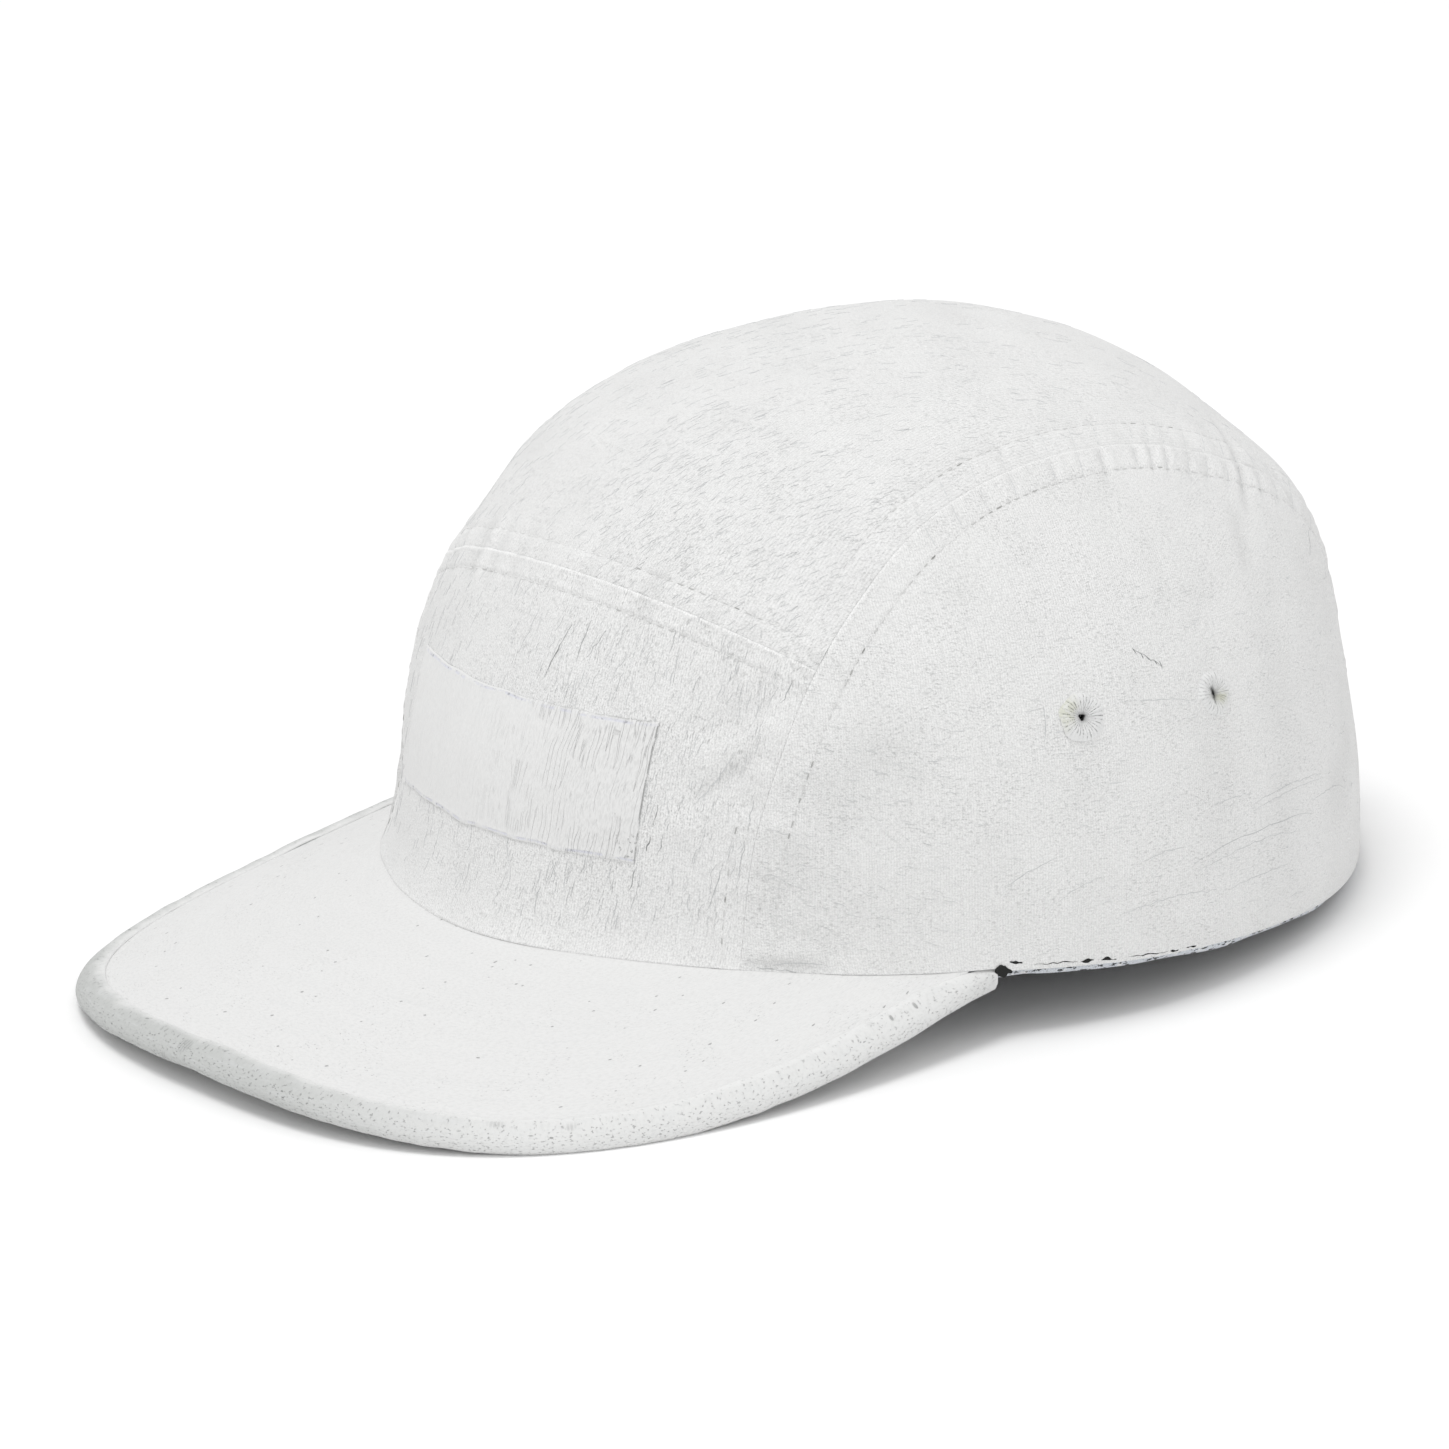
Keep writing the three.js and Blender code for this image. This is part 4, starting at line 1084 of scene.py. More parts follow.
def crack_and_shade_paint(looks):
    """The dark inside of a crack, in places filled with paint. It also colours painted shade: the lines
    in the gathers' hollows and in the crease at the foot beside the peak.
    """
    board = Board("crack_and_shade_paint")
    place = board.place()
    bare = board.mask("bare")
    grain = board.noise(place, 0.8, 3.0, 0.7)
    colour = board.colour((bare * (0.55 + 0.9 * grain)).low(1.0), looks.paint_shade, looks.dirt_and_shade)
    colour = board.colour(bare.rise(1.0, 1.3), colour, dimmed(looks.dirt_and_shade, SOOT_AND_HOLE_SHADE))
    return board.finish(colour, 0.05 * grain, 0.95 - 0.05 * grain)


def lining_cloth(looks):
    """The unpainted back of the cloth."""
    board = Board("lining_cloth")
    place = board.place()
    x, y, z = board.parts(place)
    weave = abs((x * 4.2).sine()) * abs((z * 4.2 + y * 2.1).sine())
    tone = board.noise(place, 12.0, 4.0, 0.6)
    colour = board.colour(tone, looks.lining, dimmed(looks.lining, 0.7))
    return board.finish(colour, 0.08 * weave + 0.1 * tone, 0.95 - 0.1 * weave, sheen=0.1)


def patch_cloth(looks):
    """Painted cloth of the patch, with a broken woven line along its top and foot."""
    board = Board("patch_cloth")
    u, v = board.map("UVMap")
    across, along = board.map("Strokes")
    place = board.place()
    sway = (board.noise(place, 9.0, 2.0) - 0.5) * 2.0
    streak = board.noise(board.vector((across + sway) / 1.2, along / 14), 1.0, 3.0, 0.6)
    grain = board.noise(board.vector((across + sway) / 0.34, along / 1.3), 1.0, 1.5, 0.6)
    rough_end = (u / PATCH_WIDE).rise(0.4, 1.0)
    split = board.noise(board.vector((across + sway) / 1.1, along / 26), 1.0, 1.0, 0.5)
    cracks = abs(split - 0.5).fall(0.004, 0.014) * board.noise(place, 5.0, 2.0).rise(0.40, 0.56)
    short = board.dashes(across, along, 0.6, 3.0, 0.3)
    lines = (cracks * 0.9 + short * 0.3).low(1.0) * (0.1 + 0.9 * rough_end)
    fade = board.noise(place, 3.0, 4.0, 0.7)
    specks = board.noise(place, 0.8, 2.0, 0.6).rise(0.58, 0.66)
    foot_line = abs(v - 0.6).fall(0.05, 0.34)
    head_line = abs(v - (PATCH_TALL - 0.6)).fall(0.05, 0.4)
    side_line = (PATCH_WIDE - u).fall(0.05, 0.2) * fade.rise(0.42, 0.54)
    foot_hem = v.fall(0.1, 0.35) * (u / PATCH_WIDE).fall(0.4, 0.9)
    head_hem = (PATCH_TALL - v).fall(0.1, 0.3) * (u / PATCH_WIDE).rise(0.5, 0.9)
    hem = (foot_hem + head_hem).low(1.0)
    corner = (u - (PATCH_WIDE - 6)).rise(0.0, 2.0) * (6 - v).rise(0.0, 2.0) * specks
    border = foot_line.high(head_line) * fade.rise(0.42, 0.58)
    height = 0.12 * streak + 0.12 * grain - 0.2 * lines - 0.15 * side_line - 0.06 * border
    paint = board.colour((streak - 0.5).high(0.0) * 0.5, dimmed(looks.paint, 0.95), looks.paint_shade)
    paint = board.colour(grain.rise(0.42, 0.66) * (0.04 + 0.09 * rough_end), paint, looks.dirt_and_shade)
    paint = board.colour(border * 0.42, paint, looks.border)
    dark = (lines * 0.21).high(side_line * 0.5).high(corner * 0.5).high(border * specks * 0.5)
    dark = dark.high(hem * fade.rise(0.46, 0.54) * 0.3)
    paint = board.colour(dark, paint, looks.dirt_and_shade)
    return board.finish(paint, height, 0.8 + 0.14 * grain, sheen=0.05)


def peak_cloth(looks):
    """Smoother painted cloth over the peak's board, brushed along its outline."""
    board = Board("peak_cloth")
    across, along = board.map("Strokes")
    place = board.place()
    sway = (board.noise(place, 14.0, 2.0) - 0.5) * 3.0
    tone = board.noise(place, 26.0, 3.0)
    streak = board.noise(board.vector((across + sway) / 1.8, along / 24), 1.0, 3.0, 0.55)
    grain = board.noise(board.vector(across / 0.5, along / 1.2), 1.0, 2.5, 0.6)
    rings = (across * (2 * math.pi / 6.5) + sway * 0.6).sine()
    outer = across.fall(10.0, 60.0)
    flecks = board.noise(board.vector(across / 0.40, along / 0.8), 1.0, 2.0, 0.6).rise(0.62, 0.72)
    thick_flecks = flecks * board.noise(place, 7.0, 3.0).rise(0.44, 0.6) * (0.25 + 0.75 * outer)
    specks = board.dashes(across, along, 1.8, 2.4, 0.14)
    faint = streak.rise(0.60, 0.70) * (0.3 + 0.7 * outer)
    height = 0.12 * streak + 0.07 * grain + 0.02 * rings - 0.1 * specks - 0.06 * thick_flecks
    paint = board.colour(tone, dimmed(looks.paint, 0.91), dimmed(looks.paint, 0.94))
    paint = board.colour(faint * 0.22, paint, looks.paint_shade)
    dark = (thick_flecks * 0.30).high(specks * 0.5) + grain.rise(0.42, 0.70) * 0.07
    paint = board.colour(dark + (0.5 - 0.5 * rings) * 0.008, paint, looks.dirt_and_shade)
    return board.finish(paint, height, 0.8 + 0.12 * grain, sheen=0.05)


def edge_cloth(looks):
    """The binding rolled round the peak's edge: painted on top, greyer and flecked outside."""
    board = Board("peak_edge_cloth")
    wrap, along = board.map("Strokes")
    place = board.place()
    grain = board.noise(board.vector(wrap / 0.5, along / 0.9), 1.0, 3.0, 0.6)
    wander = (board.noise(place, 5.0, 3.0, 0.6) - 0.5) * 1.6
    streak = board.noise(board.vector(wrap / 0.8, along / 8), 1.0, 3.0, 0.6)
    bare = (wrap + wander).rise(0.3, 2.2)
    flecks = board.noise(board.vector(wrap / 0.45, along / 0.8), 1.0, 2.0, 0.6).rise(0.60, 0.70)
    specks = board.dashes(wrap, along, 1.5, 2.4, 0.2)
    teeth = abs((along * (math.pi / 0.7)).sine()) * board.noise(place, 9.0, 1.0).rise(0.71, 0.76)
    height = 0.1 * streak + 0.1 * grain - 0.12 * flecks * bare - 0.12 * specks + 0.08 * teeth
    # painted shade: more of the grey binding shows at the end that the key lamp lights more
    worn = board.mask("worn")
    paint = board.colour((0.1 + bare * 0.9) * worn, looks.paint, looks.edge)
    paint = board.colour(streak.rise(0.5, 0.7) * 0.3, paint, looks.paint_shade)
    dark = flecks * (0.06 + 0.30 * bare) + grain.rise(0.45, 0.75) * bare * 0.10
    dark = dark.high(specks * bare * 0.6).high(teeth * bare * 0.3)
    paint = board.colour(dark, paint, looks.dirt_and_shade)
    return board.finish(paint, height, 0.82 + 0.12 * grain)


def band_cloth(looks):
    """Blue-grey sweatband, blotched where paint and sweat reached it."""
    board = Board("sweatband_cloth")
    u, v = board.map("UVMap")
    place = board.place()
    blot = board.noise(place, 2.0, 4.0, 0.7)
    grain = board.noise(place, 0.5, 3.0, 0.6)
    ribs = abs((u * (math.pi / 0.8)).sine())
    soot = board.noise(board.vector(u / 1.8, v / 0.7), 1.0, 3.0, 0.7).rise(0.55, 0.60)
    soot = (soot * board.mask("flecked")).high(board.mask("torn") * (blot + 0.1).rise(0.3, 0.5))
    colour = board.colour(blot.fall(0.36, 0.50) * 0.8, looks.band, looks.paint)
    colour = board.colour(soot * 0.95, colour, dimmed(looks.dirt_and_shade, SOOT_AND_HOLE_SHADE))
    return board.finish(colour, 0.1 * ribs + 0.1 * grain, 0.9 - 0.1 * grain)


def webbing(looks):
    """Strap of painted webbing with ribs across it."""
    board = Board("webbing")
    u, v = board.map("UVMap")
    place = board.place()
    ribs = abs((u * (math.pi / 1.1)).sine())
    ends = abs((v * (math.pi / 0.8) + 0.5 * (u * 2.8).sine()).sine())
    grain = board.noise(place, 0.6, 3.0, 0.6)
    wear = board.noise(place, 6.0, 3.0, 0.6)
    paint = board.colour(wear, looks.paint, looks.paint_shade)
    paint = board.colour((1 - ribs) * 0.25, paint, looks.dirt_and_shade)
    return board.finish(paint, 0.25 * ribs + 0.1 * ends + 0.06 * grain, 0.88 - 0.1 * grain)


def plastic(looks):
    """Pale moulded plastic with fine scratches."""
    board = Board("buckle_plastic")
    place = board.place()
    grain = board.noise(place, 0.3, 2.0)
    x, y, z = board.parts(place)
    scratches = board.dashes(x + y, z, 0.8, 6.0, 0.2)
    colour = board.colour(scratches * 0.3, looks.buckle, looks.dirt_and_shade)
    return board.finish(colour, 0.02 * grain - 0.03 * scratches, 0.42 + 0.2 * grain, specular=0.5)


def eyelet_thread(looks):
    """Radial embroidery thread, half hidden by paint."""
    board = Board("eyelet_thread")
    around, out = board.map("UVMap")
    place = board.place()
    bare, deep = board.mask("bare"), board.mask("deep")
    wobble = (board.noise(place, 1.4, 2.0) - 0.5) * 1.6
    thread = abs((around * 15 + wobble).sine())
    grain = board.noise(place, 0.35, 3.0, 0.6)
    chips = board.noise(place, 0.8, 3.0, 0.7)
    ring = out.rise(1.2, 1.7) * out.fall(3.7, 4.4)
    gaps = thread.fall(0.15, 0.55) * chips.rise(0.47, 0.57) * ring
    colour = board.colour(grain * 0.6, dimmed(looks.paint, 0.97), looks.paint_shade)
    colour = board.colour(bare * (0.4 + 0.6 * chips.rise(0.40, 0.56)) * 0.5, colour, looks.olive)
    colour = board.colour(gaps * board.mask("rayed") * (0.60 + 0.2 * bare), colour, looks.dirt_and_shade)
    # painted shade, near black, down the hole
    colour = board.colour(deep * 0.95, colour, dimmed(looks.dirt_and_shade, SOOT_AND_HOLE_SHADE))
    return board.finish(colour, 0.10 * thread + 0.06 * grain, 0.85 - 0.1 * grain)


def stitch_thread(looks):
    """Sewing thread: paint on some stitches, dark on others."""
    board = Board("stitch_thread")
    place = board.place()
    bare = board.mask("bare")
    twist = board.noise(place, 0.25, 2.0)
    colour = board.colour(bare, looks.paint, looks.thread)
    return board.finish(colour, 0.05 * twist, 0.85 - 0.1 * twist)


# Pieces of cloth


def crowded(count, reach=0.04, first=6.0, last=6.0, middle=0.0):
    """Shares from 0 to 1 that stand closer together near the ends, over a reach of the whole."""
    fine = np.linspace(0, 1, 2001)
    density = 1 + first * np.exp(-fine / reach) + last * np.exp(-(1 - fine) / reach)
    density += middle * bell(fine - 0.5, 0.15)
    total = np.concatenate([[0], np.cumsum((density[1:] + density[:-1]) / 2)])
    return np.interp(np.linspace(0, total[-1], count), total, fine)


def edge(path, shares, direction=None):
    """Points and normals along a path, drawn back a little so that neighbours don't touch."""
    points, normals = path.at(shares)
    if direction is not None:
        points = points + np.asarray(direction) * SEAM_GAP
    return points, normals


def inward(path, shares):
    """Directions along the cloth from a side seam towards the middle of the cap."""
    points, normals = path.at(shares)
    along = unit(np.gradient(points, axis=0))
    inwards = unit(np.cross(normals, along))
    return inwards * -np.sign(inwards[:, :1] * points[:, :1])


def cloth_piece(name, points, normals, faces, thickness, materials, maps, masks=None):
    """A sheet with its wall as an object; maps and masks are given for its outer layer."""
    layers, faces, kinds = thick(points, normals, faces, thickness)
    maps = {label: np.tile(values, (2, 1)) for label, values in maps.items()}
    masks = {label: np.tile(values, 2) for label, values in (masks or {}).items()}
    return make_mesh(name, layers, faces, materials, kinds, maps, masks)


def marked(points, places):
    """How strongly a table's places mark each point, from 0 to 1."""
    found = np.zeros(points.shape[:-1])
    for _, place, reach, strength in places:
        distance = np.linalg.norm(points - np.array(place), axis=-1)
        found = np.maximum(found, strength * bell(distance, reach))
    return found


def sewn_panel(name, panel, points, normals, faces, maps, materials, looks, kept=None):
    """Adds the sewn cloth's relief to a panel and makes it an object."""
    height, shade = relief(points, panel, looks)
    outer = points + normals * height[..., None]
    rough = COARSE_LEAST + (1 - COARSE_LEAST) * marked(points, COARSE)
    if kept is not None:
        faces = faces[kept]
    used = np.unique(faces)
    order = np.zeros(height.size, int)
    order[used] = np.arange(len(used))
    maps = {label: flat(values)[used] for label, values in maps.items()}
    masks = {"soil": marked(points, RUBBED), "shade": shade, "rough": rough}
    masks = {label: values.ravel()[used] for label, values in masks.items()}
    return cloth_piece(
        name, flat(outer)[used], flat(normals)[used], order[faces], CLOTH + height.ravel()[used],
        materials, maps, masks,
    )


def between_seams(left, shares, foot, head):
    """A panel's points and normals between a stretch of the left side seam and its mirror image."""
    right = left.mirrored()
    first = edge(right, shares, inward(right, shares))
    last = edge(left, shares, inward(left, shares))
    return fill_between(foot, head, first, last)


def turned(u, v, degrees):
    """Stroke coordinates, across and along, for strokes that lean by an angle from the v direction."""
    c, s = math.cos(math.radians(degrees)), math.sin(math.radians(degrees))
    return np.stack([u * c - v * s, u * s + v * c], -1)


def front_panel(looks, materials):
    rows, columns = 120, 160
    side = crowded(rows, 0.06)
    level = crowded(columns)
    left = LEFT_SEAM.part(0, JUNCTION + 1)
    end = around_of(left.points[0])
    foot = edge(rim_path(-end, end), level)
    head = edge(CROSS_SEAM, level, -UP)
    points, normals = between_seams(left, side, foot, head)
    u = around_of(points) * FRONT_MAP
    v = points[..., 2]
    maps = {"UVMap": np.stack([u, v], -1), "Strokes": turned(u, v, 4)}
    return sewn_panel(
        "front_panel_cloth", "front", points, normals, grid_faces(rows, columns), maps, materials, looks
    )


def top_panel(looks, materials):
    rows, columns = 290, 158
    side = crowded(rows, 0.02)
    level = crowded(columns)
    left = LEFT_SEAM.part(JUNCTION, len(SEAM_TURNS))
    end = around_of(left.points[-1])
    foot = edge(CROSS_SEAM, level, UP)
    head = edge(rim_path(2 * math.pi - end, end), level)
    points, normals = between_seams(left, side, foot, head)
    faces = grid_faces(rows, columns)
    corner = inside_arch(points).ravel()
    kept = corner[faces].sum(1) <= 2
    used = np.zeros(len(corner), bool)
    used[faces[kept].ravel()] = True
    dropped = np.zeros(len(corner), bool)
    dropped[faces[~kept].ravel()] = True
    seam = (used & dropped).reshape(points.shape[:2])
    points[seam], normals[seam] = on_arch(points[seam])
    u = points[..., 0]
    v = np.broadcast_to(run_along(points[:, columns // 2])[:, None], u.shape)
    maps = {"UVMap": np.stack([u, v], -1), "Strokes": turned(u, v, 24)}
    return sewn_panel("top_panel_cloth", "top", points, normals, faces, maps, materials, looks, kept)


def side_panel(side, looks, materials):
    """Rows run parallel to the seam, from it down to the middle stretch of the rim."""
    rows, columns = 118, 330
    across = crowded(rows, 0.045, 7.0, 3.0)
    along = crowded(columns, 0.012, 4.0, 4.0, 1.2)
    start, end = around_of(LEFT_SEAM.points[0]), around_of(LEFT_SEAM.points[-1])
    inner_start, inner_end = lerp(start, end, 0.3), lerp(start, end, 0.7)
    head = edge(LEFT_SEAM, along, -inward(LEFT_SEAM, along))
    foot = edge(rim_path(inner_start, inner_end), along)
    first = edge(rim_path(start, inner_start), across)
    last = edge(rim_path(end, inner_end), across)
    points, normals = fill_between(head, foot, first, last)
    faces = grid_faces(rows, columns)
    if side < 0:
        points, normals = crown_cloth_again(points * MIRROR, normals * MIRROR)
    radius = np.hypot(points[..., 0], points[..., 1] - dome_shift(points[..., 2]))
    u = (around_of(points) - side * math.pi / 2) * radius
    v = np.degrees(np.arctan2(points[..., 2], radius)) * SIDE_MAP_RISE
    kept = np.ones(len(faces), bool)
    middle = flat(points)[faces].mean(1)
    for _, around, height in EYELETS:
        if np.sign(around) == side:
            seat, _ = eyelet_seat(around, height)
            kept &= np.linalg.norm(middle - seat, axis=1) > EYELET_OPENING
    panel = "left" if side > 0 else "right"
    maps = {"UVMap": np.stack([u, v], -1), "Strokes": turned(u, v, 90 - 4 * side)}
    name = f"side_panel_{panel}_cloth"
    return sewn_panel(name, panel, points, normals, faces, maps, materials, looks, kept)


def crown_cloth_again(points, normals):
    """The other side's swellings differ, so points inside its edges are laid on the crown anew."""
    again, again_normals = crown_cloth(CENTRE, unit(points[1:-1, 1:-1]))
    points, normals = points.copy(), normals.copy()
    points[1:-1, 1:-1] = again
    normals[1:-1, 1:-1] = again_normals
    return points, normals


def eyelet_seat(around, height):
    return crown_cloth(CENTRE, unit(crown_at(math.radians(around), height)))


def patch_piece(looks, materials):
    rows, columns = 72, 150
    v = crowded(rows, 0.03)
    u = crowded(columns, 0.015)
    x = lerp(PATCH_RIGHT, PATCH_LEFT, u)[None, :] + 0 * v[:, None]
    z = lerp(PATCH_FOOT, PATCH_TOP, v)[:, None] + 0 * u[None, :]
    ragged = 0.25 * waves(np.stack([x, z, 0 * x], -1), 9, 31)
    start = np.stack([x, 0 * x, z + ragged], -1)
    points, normals = crown_cloth(start, FORWARDS)
    edge_u = np.minimum(u, 1 - u)[None, :] * PATCH_WIDE
    edge_v = np.minimum(v, 1 - v)[:, None] * PATCH_TALL
    inset = np.minimum(edge_u, edge_v)
    base, _ = relief(points, "front", looks)
    rise = 0.17 * np.sqrt(1 - np.exp(-inset / 0.3)) + 0.06 * bell(inset - 0.7, 0.5) + 0.1
    rise = rise + 0.05 * waves(points, 13, 33)
    outer = points + normals * (base + rise)[..., None]
    place = np.stack([x - PATCH_RIGHT, z - PATCH_FOOT], -1)
    maps = {"UVMap": place, "Strokes": turned(place[..., 0], place[..., 1], 3)}
    return cloth_piece(
        "patch_cloth", flat(outer), flat(normals), grid_faces(rows, columns), rise.ravel() - 0.04,
        materials, {label: flat(values) for label, values in maps.items()},
    )


# Peak


def peak_place(shares):
    t = math.pi * shares
    c, s = np.cos(t), np.abs(np.sin(t))
    x = PEAK_END[0] * np.sign(c) * np.abs(c) ** (2 / PEAK_SQUARE_SIDE) + PEAK_BULGE * np.sin(2 * t)
    return np.stack([x, PEAK_END[1] - PEAK_REACH * s ** (2 / PEAK_SQUARE_FRONT)], -1)


def peak_outline(shares):
    """Points of the peak's outline from its left end to its right end, and its outward direction."""
    step = 1e-3
    ahead = peak_place(np.minimum(shares + step, 1))
    along = unit(ahead - peak_place(np.maximum(shares - step, 0)))
    return peak_place(shares), np.stack([-along[:, 1], along[:, 0]], -1)


def even_shares(count):
    fine = np.linspace(0, 1, 6001)
    points = peak_place(fine)
    lengths = run_along(points)
    wanted = np.linspace(0, lengths[-1], count)
    return np.interp(wanted, lengths, fine), wanted, lengths[-1] - wanted


def edge_width(length, left):
    return lerp(EDGE_END_WIDTH, EDGE_WIDTH, smooth(np.minimum(length, left) / EDGE_TAPER))


def on_peak(places):
    return np.concatenate([places, peak_height(places[..., 0], places[..., 1])[..., None]], -1)


def peak_root(around):
    base, outward = rim_outward(around)
    return (base - outward * CLOTH)[..., :2]


def peak_board(materials):
    columns = 70
    shares, length, left = even_shares(300)
    outline, outward = peak_outline(shares)
    outer = outline - outward * (edge_width(length, left) + SEAM_GAP)[:, None]
    root = peak_root(np.arctan2(outer[:, 0], -outer[:, 1]))
    kept = np.linalg.norm(outer, axis=1) - np.linalg.norm(root, axis=1) > 2.5
    outer, length = outer[kept], length[kept]
    end = math.atan2(outer[0, 0], -outer[0, 1])
    inner = peak_root(np.linspace(end, -end, len(outer)))
    share = crowded(columns, 0.03, 3.0, 5.0)[None, :, None]
    places = lerp(inner[:, None], outer[:, None], share)
    points = on_peak(places)
    inset = np.linalg.norm(places - outer[:, None], axis=-1)
    height = 0.2 * waves(points, 40, 41) * smooth(inset / 12) + 0.08 * np.exp(-inset / 0.4)
    height = height - 0.12 * bell(inset - 1.6, 0.7)
    root_gap = np.linalg.norm(places - inner[:, None], axis=-1)
    around = np.arctan2(points[..., 0], -points[..., 1])
    foot = CLOTH + flare_at(around)
    height = height * smooth((root_gap - foot - 1) / 5)
    meeting = np.interp(around, RIM_AROUND, RIM_HEIGHT) - GAP - points[..., 2]
    height += np.clip(meeting, 0, 0.6) * np.exp(-np.maximum(root_gap - foot - 0.2, 0) / 0.45)
    points = points + UP * height[..., None]
    normals = np.broadcast_to(UP, points.shape)
    strokes = np.stack([inset, np.broadcast_to(length[:, None], inset.shape)], -1)
    return cloth_piece(
        "peak_cloth", flat(points), flat(normals), grid_faces(len(outer), columns),
        PEAK_BOARD + height.ravel(), materials, {"UVMap": flat(places), "Strokes": flat(strokes)},
    )


def rounded(section, count):
    """A closed curve through the points of a section, as evenly spaced points."""
    corners = np.array(section, float)
    steps = []
    for i in range(len(corners)):
        a, b, c, d = (corners[(i + k) % len(corners)] for k in (-1, 0, 1, 2))
        t = np.linspace(0, 1, 40, endpoint=False)[:, None]
        square, cube = 2 * a - 5 * b + 4 * c - d, 3 * b - a - 3 * c + d
        steps.append(0.5 * (2 * b + (c - a) * t + square * t**2 + cube * t**3))
    fine = np.concatenate(steps + [corners[:1]])
    return evenly(fine, count)


def tube(name, rings, materials, maps, masks):
    """A closed solid through rings of points; its ends are drawn in to a point."""
    count, around = rings.shape[:2]

    def with_ends(values):
        return np.concatenate([flat(values), values[[0, -1]].mean(1)])

    k = np.arange(around)
    after = (k + 1) % around
    first, last = count * around, count * around + 1
    start = (count - 1) * around
    first_fan = np.stack([after, k, k * 0 + first, k * 0 + first], -1)
    last_fan = np.stack([k + start, after + start, k * 0 + last, k * 0 + last], -1)
    faces = np.concatenate([grid_faces(count, around, closed=True), first_fan, last_fan])
    maps = {label: with_ends(values) for label, values in maps.items()}
    masks = {label: with_ends(values[..., None])[:, 0] for label, values in masks.items()}
    return make_mesh(name, with_ends(rings), faces, materials, None, maps, masks)


def peak_edge(materials):
    shares, length, left = even_shares(420)
    outline, outward = peak_outline(shares)
    width = edge_width(length, left)
    fullness = (width - EDGE_END_WIDTH) / (EDGE_WIDTH - EDGE_END_WIDTH)
    section = rounded(EDGE_SECTION, EDGE_ROUND_STEPS)
    inwards, up = section[:, 0], section[:, 1]
    ridge = 0.35 * bell(inwards - 0.62, 0.16) * (up > -1)
    places = outline[:, None] - outward[:, None] * (inwards[None, :, None] * width[:, None, None])
    rings = on_peak(places)
    rise = np.where(up > 0, up * fullness[:, None], up) + ridge * fullness[:, None]
    rise = rise + 0.10 * waves(rings, 14, 51) + 0.07 * waves(rings, 5, 52)
    rings = rings + UP * rise[..., None]
    run = np.broadcast_to(length[:, None], rings.shape[:2])
    wrap = np.broadcast_to(np.linspace(0, EDGE_WRAP, EDGE_ROUND_STEPS)[None, :], rings.shape[:2])
    strokes = np.stack([wrap, run], -1)
    # painted shade along the edge, darker at the end that the key lamp lights more
    worn = np.interp(rings[..., 0], *np.array(EDGE_SHADING).T)
    maps = {"UVMap": strokes, "Strokes": strokes}
    return tube("peak_edge_cloth", rings, materials, maps, {"worn": worn})


# Inside the rim


def inside_crown(around, height):
    base = crown_at(around, height)
    normal = crown_normal(base)
    depth = CLOTH + GAP - np.minimum(swelling(base), 0)
    return base - normal * depth[..., None], normal


def sweatband_piece(materials):
    rows, columns = 26, 420
    around = np.radians(np.linspace(-BAND_END, BAND_END, columns))
    behind = np.clip((PEAK_CORNER + BAND_CHANGE - np.abs(np.degrees(around))) / 2 / BAND_CHANGE, 0, 1)
    rim = rim_point(around)[0][:, 2]
    line = np.stack([np.degrees(around), 0 * around, 0 * around], -1)
    foot = rim - lerp(BAND_SHOWS + 0.25 * waves(line, 9, 61), BAND_BEHIND_PEAK, behind)
    share = crowded(rows, 0.06, 4.0, 1.0)[:, None]
    height = lerp(foot[None, :], BAND_HEIGHT, share)
    points, normals = inside_crown(np.broadcast_to(around, height.shape), height)
    rise = height - foot
    roll = -0.5 * np.exp(-rise / 0.5) + 0.12 * waves(points, 12, 62) - 0.12
    points = points + normals * roll[..., None]
    place = np.stack([np.broadcast_to(around, height.shape) * BAND_MAP, height], -1)
    return cloth_piece(
        "sweatband_cloth", flat(points), flat(normals), grid_faces(rows, columns),
        BAND_THICKNESS + roll.ravel(), materials, {"UVMap": flat(place)},
        {
            "torn": marked(points, BAND_TORN).ravel(),
            "flecked": smooth((points[..., 0] - 60) / 20).ravel() * 0.9 + 0.1,
        },
    )


def strap_piece(materials):
    rows, columns = 26, 150
    around = np.radians(np.linspace(STRAP_END, 360 - STRAP_END, columns))
    share = crowded(rows, 0.06)[:, None]
    height = STRAP_FOOT + share * STRAP_WIDTH + 0 * around
    points, normals = inside_crown(np.broadcast_to(around, height.shape), height)
    inset = np.minimum(share, 1 - share) * STRAP_WIDTH
    roll = -0.35 * np.exp(-inset / 0.4) + 0 * around
    points = points + normals * roll[..., None]
    place = np.stack([np.broadcast_to(around, height.shape) * STRAP_MAP, height], -1)
    return cloth_piece(
        "strap_webbing", flat(points), flat(normals), grid_faces(rows, columns),
        STRAP_THICKNESS + 2 * roll.ravel(), materials, {"UVMap": flat(place)},
    )


def box_loop(width, height, corner, count):
    """Points round a rectangle with rounded corners, evenly spaced."""
    x, y = width / 2 - corner, height / 2 - corner
    turn = np.linspace(0, math.pi / 2, 12)
    corners = []
    for k, (cx, cy) in enumerate([(x, y), (-x, y), (-x, -y), (x, -y)]):
        angle = turn + k * math.pi / 2
        corners.append(np.stack([cx + corner * np.cos(angle), cy + corner * np.sin(angle)], -1))
    fine = np.concatenate(corners + [corners[0][:1]])
    return evenly(fine, count)


